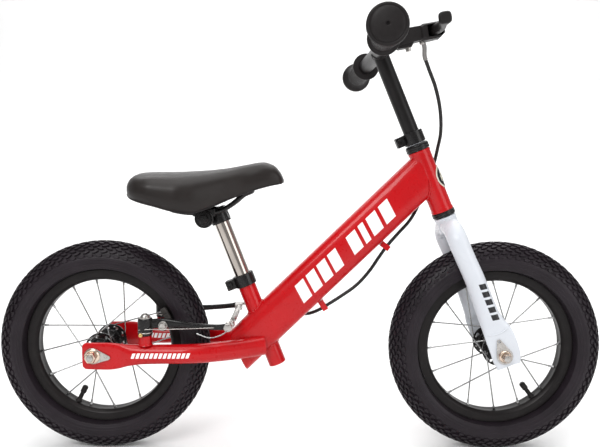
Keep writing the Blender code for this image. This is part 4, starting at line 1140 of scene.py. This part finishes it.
            bits.append(lathe("h", [(0, -0.0012), (0.0014, -0.0010), (0.0018, -0.0004),
                        (0.0018, 0.0), (0, 0.0)],
                        o + p0 + Y * g * (f0 - 0.0001 + 0.0), Y * g, 16, closed=False))
        ob = soft(join("%s_spoke_set_%s" % (name, side), bits), 0, 1, 30, 50)
        place(ob, bodyname, M_SPOKE, "steel", "%s_spokes_%s" % (name, side))

    va = math.radians(valve_angle)
    dv = Vector((math.cos(va), 0, math.sin(va)))
    r0 = RIM_R_IN - 0.0246
    prof = [(0, 0.0), (0.0030, 0.0002), (0.0040, 0.0012), (0.0043, 0.0024)]
    for i in range(6):
        prof += [(0.0043, 0.0030 + i * 0.0012), (0.0041, 0.0036 + i * 0.0012)]
    prof += [(0.0043, 0.0102), (0.0036, 0.0108), (0.0031, 0.0114), (0.0032, 0.0200),
             (0.0036, 0.0232), (0.0052, 0.0246), (0, 0.0249)]
    ob = lathe(name + "_stem", prof, o + dv * r0, dv, 36, closed=False)
    place(soft(ob, 0, 1, 30, 50), bodyname, M_GRIP, "rubber", name + "_valve")


wheel("front", WHEEL_X, 2.5, -52.5)
wheel("rear", -WHEEL_X, 7.0, -116.5)

# ------------------------------------------------------------------ seat post
post = lathe("post_tube", [(POST_R, 0.0450), (POST_R, 0.2430), (0.0096, 0.2430),
                           (0.0096, 0.0450)], P(0), P_UP, 96)
place(soft(post, 0.0004, 2, 40), "seat_post", M_CHROME, "chrome", "seat_post")
collar = lathe("post_collar", [(0.0136, 0.2215), (0.0142, 0.2222), (0.0142, 0.2380),
               (0.0130, 0.2395), (0.0116, 0.2395), (0.0116, 0.2215)], P(0), P_UP, 80)
core = lathe("post_core", [(0, -0.0150), (0.0106, -0.0150), (0.0112, -0.0144),
             (0.0112, 0.0144), (0.0106, 0.0150), (0, 0.0150)], SADDLE_PIVOT, Y, 64,
             closed=False)
web = soft(hull("post_web", [P(t, f, y) for t, f in
           ((0.2235, -0.0110), (0.2235, 0.0135), (0.2440, 0.0120), (0.2450, -0.0100))
           for y in (-0.0115, 0.0115)]), 0.0015, 3, 25)
ob = join("saddle_clamp_head", [collar, core, web])
place(soft(ob, 0, 1, 40, 50), "seat_post", M_GLOSS, "black_metal", "saddle_clamp")
nuts = []
for g in (-1, 1):
    nuts.append(lathe("n", [(0, 0.0280), (0.0070, 0.0280), (0.0070, 0.0330),
                            (0.0060, 0.0341), (0, 0.0343)], SADDLE_PIVOT, Y * g, 6,
                      closed=False))
    nuts.append(lathe("w", [(0, 0.0276), (0.0085, 0.0276), (0.0087, 0.0280),
                            (0.0085, 0.0288), (0, 0.0288)], SADDLE_PIVOT, Y * g, 40,
                      closed=False))
nuts.append(cyl("r", SADDLE_PIVOT - Y * 0.0345, SADDLE_PIVOT + Y * 0.0345, 0.0036, 24))
place(soft(join("saddle_clamp_nuts", nuts), 0.0004, 2, 32), "seat_post", M_GLOSS,
      "steel", "saddle_clamp_bolt")

# ------------------------------------------------------------------ saddle
SADDLE = [(-0.2402, 0.3835, 0.0100, 0.3795, 0.3805),
          (-0.2390, 0.3880, 0.0330, 0.3760, 0.3810),
          (-0.2335, 0.3975, 0.0480, 0.3690, 0.3760),
          (-0.2200, 0.4030, 0.0610, 0.3640, 0.3735),
          (-0.1980, 0.4038, 0.0680, 0.3585, 0.3725),
          (-0.1700, 0.4042, 0.0680, 0.3510, 0.3720),
          (-0.1480, 0.4052, 0.0625, 0.3482, 0.3725),
          (-0.1250, 0.4068, 0.0520, 0.3540, 0.3740),
          (-0.1000, 0.4098, 0.0400, 0.3650, 0.3790),
          (-0.0750, 0.4145, 0.0310, 0.3745, 0.3850),
          (-0.0520, 0.4180, 0.0270, 0.3820, 0.3900),
          (-0.0380, 0.4140, 0.0235, 0.3855, 0.3920),
          (-0.0280, 0.4040, 0.0185, 0.3875, 0.3920),
          (-0.0235, 0.3950, 0.0110, 0.3885, 0.3905),
          (-0.0226, 0.3925, 0.0040, 0.3895, 0.3900)]


def saddle_ring(x, zt, w, zs, zm, grow=0.0):
    h = zt - zs
    half_ = [(0.0, zt), (0.35 * w, zt - 0.02 * h), (0.66 * w, zt - 0.09 * h),
             (0.88 * w, zt - 0.24 * h), (0.985 * w, zt - 0.45 * h), (w, zt - 0.70 * h),
             (0.965 * w, zs + 0.10 * h), (0.93 * w, zs + 0.01 * h), (0.89 * w, zs),
             (0.84 * w, zs + 0.10 * (zm - zs)), (0.74 * w, zm - 0.1 * (zm - zs)),
             (0.66 * w, zm), (0.0, zm)]
    out = dense(half_, 34, 2)
    ring_ = [Vector((x, y, z)) for y, z in out]
    return ring_ + [Vector((x, -y, z)) for y, z in out[-2:0:-1]]


S_ROWS = dense(SADDLE, 110, 2)
cover = skin("saddle_skin", [saddle_ring(*r) for r in S_ROWS])
place(soft(cover, 0, 1, 40, 75), "saddle", M_SADDLE, "saddle_skin", "saddle_cover")
# pressed seam that runs round the side a little above the lower edge
seam = []
for g in (1, -1):
    part = []
    for r in (S_ROWS[4:-4] if g > 0 else S_ROWS[-5:3:-1]):
        x, zt, w, zs, zm = r
        h = zt - zs
        part.append(Vector((x, g * (0.93 * w + 0.0001), zs + 0.012 * h)))
    seam += part
place(soft(pipe("saddle_edge_piping", seam, 0.0009, 10, closed=True)), "saddle",
      M_PLASTIC, "black_plastic")
rings = []
for r in dense([s[:5] for s in SADDLE[2:-3]], 60, 2):
    x, zt, w, zs, zm = r
    rings.append([Vector((x, y * w * 0.70, zm - 0.0002 if z > 0 else zm - 0.0040))
                  for y, z in ((-1, 1), (1, 1), (1, -1), (-1, -1))])
place(soft(skin("saddle_pan", rings), 0.0010, 3, 40), "saddle", M_PLASTIC,
      "black_plastic", "saddle_base")
RAIL = [(-0.2080, 0.0260, 0.3640), (-0.1950, 0.0255, 0.3590),
        (-0.1780, 0.0240, 0.3505), (-0.1600, 0.0220, 0.3470),
        (-0.1340, 0.0215, 0.3470), (-0.1120, 0.0215, 0.3490),
        (-0.0950, 0.0200, 0.3590), (-0.0800, 0.0160, 0.3710),
        (-0.0700, 0.0080, 0.3755), (-0.0680, 0.0, 0.3762)]
run = path([(x, -y, z) for x, y, z in RAIL]
           + [(x, y, z) for x, y, z in reversed(RAIL[:-1])], 120)
parts = [pipe("rail", run, 0.0034, 20)]
for g in (-1, 1):   # sockets that take the rails' rear ends, and the nose socket
    parts.append(soft(hull("sock", [Vector((x, g * y, z)) for x, z0, z1, y0, y1 in
                 ((-0.2180, 0.3655, 0.3735, 0.0195, 0.0325),
                  (-0.2010, 0.3585, 0.3735, 0.0195, 0.0325))
                 for z in (z0, z1) for y in (y0, y1)]), 0.0016, 3, 25))
parts.append(soft(hull("nose", [Vector((x, y, z)) for x, z0, z1, w in
             ((-0.0840, 0.3740, 0.3830, 0.0150), (-0.0600, 0.3790, 0.3880, 0.0100))
             for z in (z0, z1) for y in (-w, w)]), 0.0016, 3, 25))
place(soft(join("saddle_rail_frame", parts), 0, 1, 40, 50), "saddle", M_GLOSS,
      "black_metal", "saddle_rails")
for side, g in (("right", -1), ("left", 1)):
    cheek = lathe("cheek_" + side,
                  [(0.0044, 0.0156), (0.0122, 0.0156), (0.0130, 0.0164),
                   (0.0133, 0.0200), (0.0133, 0.0252), (0.0128, 0.0262),
                   (0.0116, 0.0266), (0.0112, 0.0262), (0.0106, 0.0262),
                   (0.0102, 0.0268), (0.0100, 0.0278), (0.0094, 0.0280),
                   (0.0044, 0.0280)], SADDLE_PIVOT, Y * g, 80)
    wing = soft(hull("wing", [Vector((x, g * y, z)) for x, z0, z1 in
                ((-0.1500, 0.3415, 0.3520), (-0.1180, 0.3415, 0.3530))
                for z in (z0, z1) for y in (0.0165, 0.0258)]), 0.0018, 3, 25)
    ob = join("saddle_clamp_cheek_" + side, [cheek, wing])
    place(soft(ob, 0, 1, 40, 50), "saddle", M_GLOSS, "black_metal",
          "rail_clamp_" + side)

# ------------------------------------------------------------------ rim brake
ARM = [(-0.2062, 0.0531, 0.1955, 0.0068, 0.0042),
       (-0.2000, 0.0515, 0.1955, 0.0068, 0.0040),
       (-0.1890, 0.0480, 0.1955, 0.0068, 0.0036),
       (-0.1700, 0.0490, 0.1948, 0.0052, 0.0034),
       (-0.1500, 0.0545, 0.1940, 0.0042, 0.0034),
       (-0.1300, 0.0607, 0.1938, 0.0038, 0.0034),
       (-0.1100, 0.0658, 0.1945, 0.0038, 0.0036),
       (-0.0985, 0.0680, 0.1955, 0.0044, 0.0040)]
PAD_C = Vector((-0.1880, 0.0, 0.1925))
for side, g in (("right", -1), ("left", 1)):
    base = (BRAKE_X, g * BRAKE_Y, 0)
    body = "brake_arm_" + side
    hubp = lathe("arm_barrel", [(0.0047, 0.1804), (0.0092, 0.1804), (0.0098, 0.1810),
                 (0.0098, 0.1832), (0.0088, 0.1838), (0.0088, 0.1850), (0.0100, 0.1858),
                 (0.0100, 0.2015), (0.0094, 0.2034), (0.0080, 0.2043),
                 (0.0047, 0.2044)], base, Z, 64)
    rows = [(Vector((x, g * y, z)), h, w, 2.6)
            for x, y, z, h, w in dense(ARM, 60, 4)]
    bar_ = soft(skin("arm_bar", sweep(rows, Z, 36)), 0.0009, 3, 50)
    eye = lathe("arm_eye", [(0, 0.0385), (0.0066, 0.0385), (0.0074, 0.0393),
                            (0.0074, 0.0520), (0.0066, 0.0528), (0, 0.0528)], PAD_C,
                Y * g, 48, closed=False)
    ob = join("brake_arm_%s_forging" % side, [hubp, bar_, eye])
    place(soft(ob, 0, 1, 40, 50), body, M_GLOSS, "black_metal", body)
    # shoe, curved along the rim
    wc = Vector((-WHEEL_X, 0, TYRE_R))
    rad = Vector((PAD_C.x + WHEEL_X, 0, PAD_C.z + 0.0020 - TYRE_R)).normalized()
    th0 = math.atan2(rad.z, rad.x)
    rows = []
    for i in range(41):
        u = -1 + 2 * i / 40
        a = th0 + u * 0.0170 / 0.1045
        edge = (1 - abs(u) ** 8) ** 0.5
        groove = 0.0006 if 9 <= i % 10 <= 9 else 0.0
        rows.append((wc + Vector((math.cos(a), 0, math.sin(a))) * 0.1045
                     + Y * g * 0.0198, 0.0041 * (0.75 + 0.25 * edge) - groove,
                     0.0046 * (0.75 + 0.25 * edge) - groove, 4.0))
    shoe = soft(skin("shoe", sweep(rows, Y, 36)), 0.0006, 2, 50)
    post_ = lathe("post", [(0, 0.0236), (0.0056, 0.0236), (0.0056, 0.0286),
                           (0.0046, 0.0296), (0, 0.0296)], PAD_C, Y * g, 40,
                  closed=False)
    ob = join("brake_shoe_" + side, [shoe, post_])
    place(soft(ob, 0, 1, 40, 50), body, M_PAD, "rubber", "brake_pad_" + side)
    bits = [cyl("s", PAD_C + Y * g * 0.029, PAD_C + Y * g * 0.0572, 0.0028, 24)]
    bits.append(lathe("w", [(0, 0.0527), (0.0064, 0.0527), (0.0066, 0.0533),
                            (0.0060, 0.0541), (0, 0.0541)], PAD_C, Y * g, 48,
                      closed=False))
    bits.append(lathe("h", [(0.0026, 0.0538), (0.0054, 0.0538), (0.0054, 0.0564),
                            (0.0046, 0.0574), (0.0026, 0.0574)], PAD_C, Y * g, 6))
    bits.append(lathe("d", [(0.0047, 0.2040), (0.0085, 0.2040), (0.0085, 0.2050),
                            (0.0047, 0.2052)], base, Z, 40))
    # tension spring: a coil round the pivot and its leg along the arm
    coil = []
    for i in range(73):
        a = math.radians(-20 + 10 * i * g)
        coil.append(Vector((BRAKE_X + 0.0094 * math.cos(a),
                            g * BRAKE_Y + 0.0094 * math.sin(a), 0.1838 + 0.00002 * i)))
    bits.append(pipe("c", coil, 0.0006, 8))
    leg_ = path([(-0.2200, g * 0.0610, 0.1885), (-0.2080, g * 0.0632, 0.1900),
                 (-0.1900, g * 0.0606, 0.1896), (-0.1650, g * 0.0596, 0.1900),
                 (-0.1400, g * 0.0640, 0.1920), (-0.1150, g * 0.0690, 0.1945)], 50)
    bits.append(pipe("l", leg_, 0.0006, 8))
    place(soft(join("brake_hardware_" + side, bits), 0.0, 1, 32, 50), body, M_STEEL,
          "steel")
    screw = lathe("brake_trim_screw_" + side,
                  [(0, -0.0010), (0.0016, -0.0010), (0.0016, 0.0030), (0.0027, 0.0032),
                   (0.0029, 0.0038), (0.0028, 0.0049), (0.0020, 0.0055), (0, 0.0056)],
                  (BRAKE_X - 0.0035, g * (BRAKE_Y + 0.0086), 0.1826), Y * g, 28,
                  closed=False)
    place(soft(screw, 0.0002, 1, 40), body, M_BRASS, "steel")

NOODLE = [(-0.0641, 0.0562, 0.1960), (-0.0705, 0.0665, 0.1962),
          (-0.0790, 0.0745, 0.1962), (-0.0875, 0.0755, 0.1962),
          (-0.0925, 0.0690, 0.1962), (-0.0933, 0.0570, 0.1962),
          (-0.0933, 0.0440, 0.1962)]
run = path(NOODLE, 70)
bits = [pipe("noodle", run, 0.0027, 24)]
t0 = (run[0] - run[1]).normalized()
bits.append(lathe("f", [(0, -0.0004), (0.0036, 0.0), (0.0038, 0.0006), (0.0038, 0.0066),
                        (0.0030, 0.0074), (0, 0.0074)], run[0] + t0 * 0.0008, -t0, 32,
                  closed=False))
bits.append(lathe("e", [(0, 0.0), (0.0040, 0.0), (0.0040, 0.0030), (0.0032, 0.0050),
                        (0, 0.0052)], run[-1] + Y * 0.0050, -Y, 32, closed=False))
bits.append(soft(hull("link", [Vector((x, y, z)) for x in (-0.1000, -0.0890)
            for y, z0, z1 in ((0.0490, 0.1912, 0.2008), (0.0690, 0.1902, 0.2006))
            for z in (z0, z1)]), 0.0014, 3, 25))
place(soft(join("brake_noodle_tube", bits), 0, 1, 40, 50), "brake_arm_left", M_STEEL,
      "steel", "brake_noodle")
WIRE = [(-0.0933, 0.0480, 0.1962), (-0.0933, 0.0200, 0.1962), (-0.0933, -0.0250, 0.1962),
        (-0.0934, -0.0610, 0.1960), (-0.0945, -0.0720, 0.1942),
        (-0.0990, -0.0760, 0.1900), (-0.1100, -0.0770, 0.1845),
        (-0.1210, -0.0755, 0.1825), (-0.1350, -0.0725, 0.1860)]
bits = [pipe("w", path(WIRE, 120), 0.0008, 10),
        pipe("tip", path([WIRE[-1], (-0.1382, -0.0717, 0.1872)], 4), 0.0011, 12)]
place(soft(join("brake_inner_wire", bits)), "brake_arm_right", M_SPOKE, "steel",
      "brake_wire")
boot = [(0.0, 0.0465)]
for i in range(61):
    y = 0.0465 - 0.0805 * i / 60
    r = 0.0031 if y > 0.022 else (0.0042 if y > 0.014 else 0.0034)
    if y < 0.012:
        r += 0.0007 * math.sin(2 * math.pi * (0.012 - y) / 0.0125) ** 2
    boot.append((r, y))
boot.append((0.0, boot[-1][1]))
boot = lathe("brake_wire_boot", boot, (-0.0933, 0, 0.1962), Y, 32, closed=False)
place(soft(boot, 0, 1, 40, 50), "brake_arm_left", M_STEEL, "steel")
ball = lathe("brake_wire_stop", [(0, 0.0495), (0.0030, 0.0500), (0.0046, 0.0520),
             (0.0050, 0.0545), (0.0044, 0.0575), (0.0030, 0.0592), (0, 0.0596)],
             (-0.0933, 0, 0.1962), -Y, 32, closed=False)
place(soft(ball, 0, 1, 40, 50), "brake_arm_right", M_STEEL, "steel")
anchor = lathe("wire_anchor", [(0, 0.0602), (0.0052, 0.0602), (0.0056, 0.0608),
               (0.0056, 0.0624), (0.0046, 0.0628), (0.0046, 0.0712), (0.0056, 0.0716),
               (0.0056, 0.0742), (0.0048, 0.0748), (0, 0.0748)],
               (-0.0960, 0, 0.1955), -Y, 40, closed=False)
place(soft(anchor, 0.0002, 1, 40), "brake_arm_right", M_STEEL, "steel")

# ------------------------------------------------------------------ brake cable
UPPER = [(0.1575, -0.0694, 0.5789), (0.1577, -0.0660, 0.5789), (0.1595, -0.0610, 0.5770),
         (0.1633, -0.0570, 0.5700), (0.1652, -0.0510, 0.5580),
         (0.1705, -0.0440, 0.5475), (0.1848, -0.0300, 0.5200),
         (0.1965, -0.0120, 0.4845), (0.2000, 0.0020, 0.4580),
         (0.1990, 0.0130, 0.4400), (0.1950, 0.0205, 0.4150),
         (0.1860, 0.0240, 0.3880), (0.1760, 0.0225, 0.3600),
         (0.1605, 0.0120, 0.3345), (0.1420, 0.0035, 0.3155)]
LOWER = [(0.1420, 0.0035, 0.3155), (0.1350, 0.0020, 0.3080),
         (0.1250, 0.0003, 0.2965), (0.1150, 0.0, 0.2820), (0.1005, 0.0, 0.2605),
         (0.0830, 0.0, 0.2410), (0.0610, 0.0005, 0.2245), (0.0420, 0.0010, 0.2120),
         (0.0310, 0.0015, 0.2050), (0.0180, 0.0090, 0.1975),
         (0.0050, 0.0215, 0.1925), (-0.0120, 0.0270, 0.1930),
         (-0.0350, 0.0300, 0.1940), (-0.0525, 0.0400, 0.1952),
         (-0.0636, 0.0555, 0.1960)]


def blended(ob, mat, slot, a, b, start, end, *nodes):
    """Cable piece given its material, baked into world space and left unattached; hides the
    named CAD parts.
    """
    ob.data.materials.append(mat)
    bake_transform(ob)
    if nodes:
        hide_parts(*nodes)
    return ob


run = path(UPPER, 200)
mid = min(range(200), key=lambda i: (run[i] - Vector(UPPER[8])).length)
one = soft(pipe("cable_bar_run", run[:mid + 1], CABLE_R, 18))
blended(one, M_CABLE, "black_plastic", "handlebar", "fork", run[20], run[mid - 10],
        "brake_cable_upper")
two = soft(pipe("cable_head_run", run[mid:], CABLE_R, 18))
blended(two, M_CABLE, "black_plastic", "fork", "frame", run[mid + 10], run[-12])
cuff = run[:24]
sleeve = soft(pipe("cable_ferrule", cuff, [0.0033 if i < 8 else 0.0030 for i in
                                           range(len(cuff))], 20), 0, 1, 40, 50)
place(sleeve, "handlebar", M_FERRULE, "black_plastic")
run = path(LOWER, 260)
cut = min(range(260), key=lambda i: (run[i] - Vector(LOWER[11])).length)
low = soft(pipe("cable_frame_run", run[:cut + 1], CABLE_R, 18))
place(low, "frame", M_CABLE, "black_plastic", "brake_cable_lower")
rear = soft(pipe("cable_rear_run", run[cut:], CABLE_R, 18))
blended(rear, M_CABLE, "black_plastic", "frame", "brake_arm_left", run[cut + 4],
        run[-6])

for name in ("cable_guide_upper", "cable_guide_lower"):
    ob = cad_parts[name]
    ob.data.materials.clear()
    ob.data.materials.append(M_RED)
    for p in ob.data.polygons:
        p.material_index = 0

# ------------------------------------------------------------------ studio
prof = [(-4.0, 0.0), (2.2, 0.0)]
prof += [(2.2 + 1.6 * math.sin(a), 1.6 - 1.6 * math.cos(a))
         for a in (math.pi / 2 * i / 24 for i in range(1, 25))]
prof += [(3.8, 6.0)]
verts = [(x, y, z) for y, z in prof for x in (-9.0, 9.0)]
floor = new("studio_floor", verts,
            [(2 * i, 2 * i + 1, 2 * i + 3, 2 * i + 2) for i in range(len(prof) - 1)])
for p in floor.data.polygons:
    p.use_smooth = True
floor.data.materials.append(finish_mat("studio_paper", (0.90, 0.90, 0.90),
                                       (0.88, 0.88, 0.88), 0.9, 0.03, scale=3.0,
                                       fine=20.0, bump=(0.02, 200.0, 0.0002)))

world = bpy.data.worlds.new("studio")
scene.world = world
world.use_nodes = True
bg = world.node_tree.nodes["Background"]
bg.inputs["Color"].default_value = (1.0, 1.0, 1.0, 1.0)
bg.inputs["Strength"].default_value = 0.42


def light(name, loc, at, size, power, colour=(1, 1, 1)):
    data = bpy.data.lights.new(name, "AREA")
    data.shape, data.size, data.size_y = "RECTANGLE", size[0], size[1]
    data.energy, data.color = power, colour
    ob = bpy.data.objects.new(name, data)
    d_ = (Vector(at) - Vector(loc)).normalized()
    ob.matrix_world = Matrix.Translation(loc) @ d_.to_track_quat("-Z", "Y").to_matrix(
        ).to_4x4()
    scene.collection.objects.link(ob)


light("key", (-0.9, -1.9, 1.9), (0, 0, 0.3), (1.5, 1.0), 34)
light("top", (0.1, -0.1, 2.3), (0, 0, 0.2), (2.4, 1.8), 34)
light("fill", (1.9, -1.5, 0.9), (0, 0, 0.3), (1.2, 1.4), 14)
light("back", (0.0, 2.0, 2.6), (0, 2.8, 0.6), (4.0, 1.2), 75)
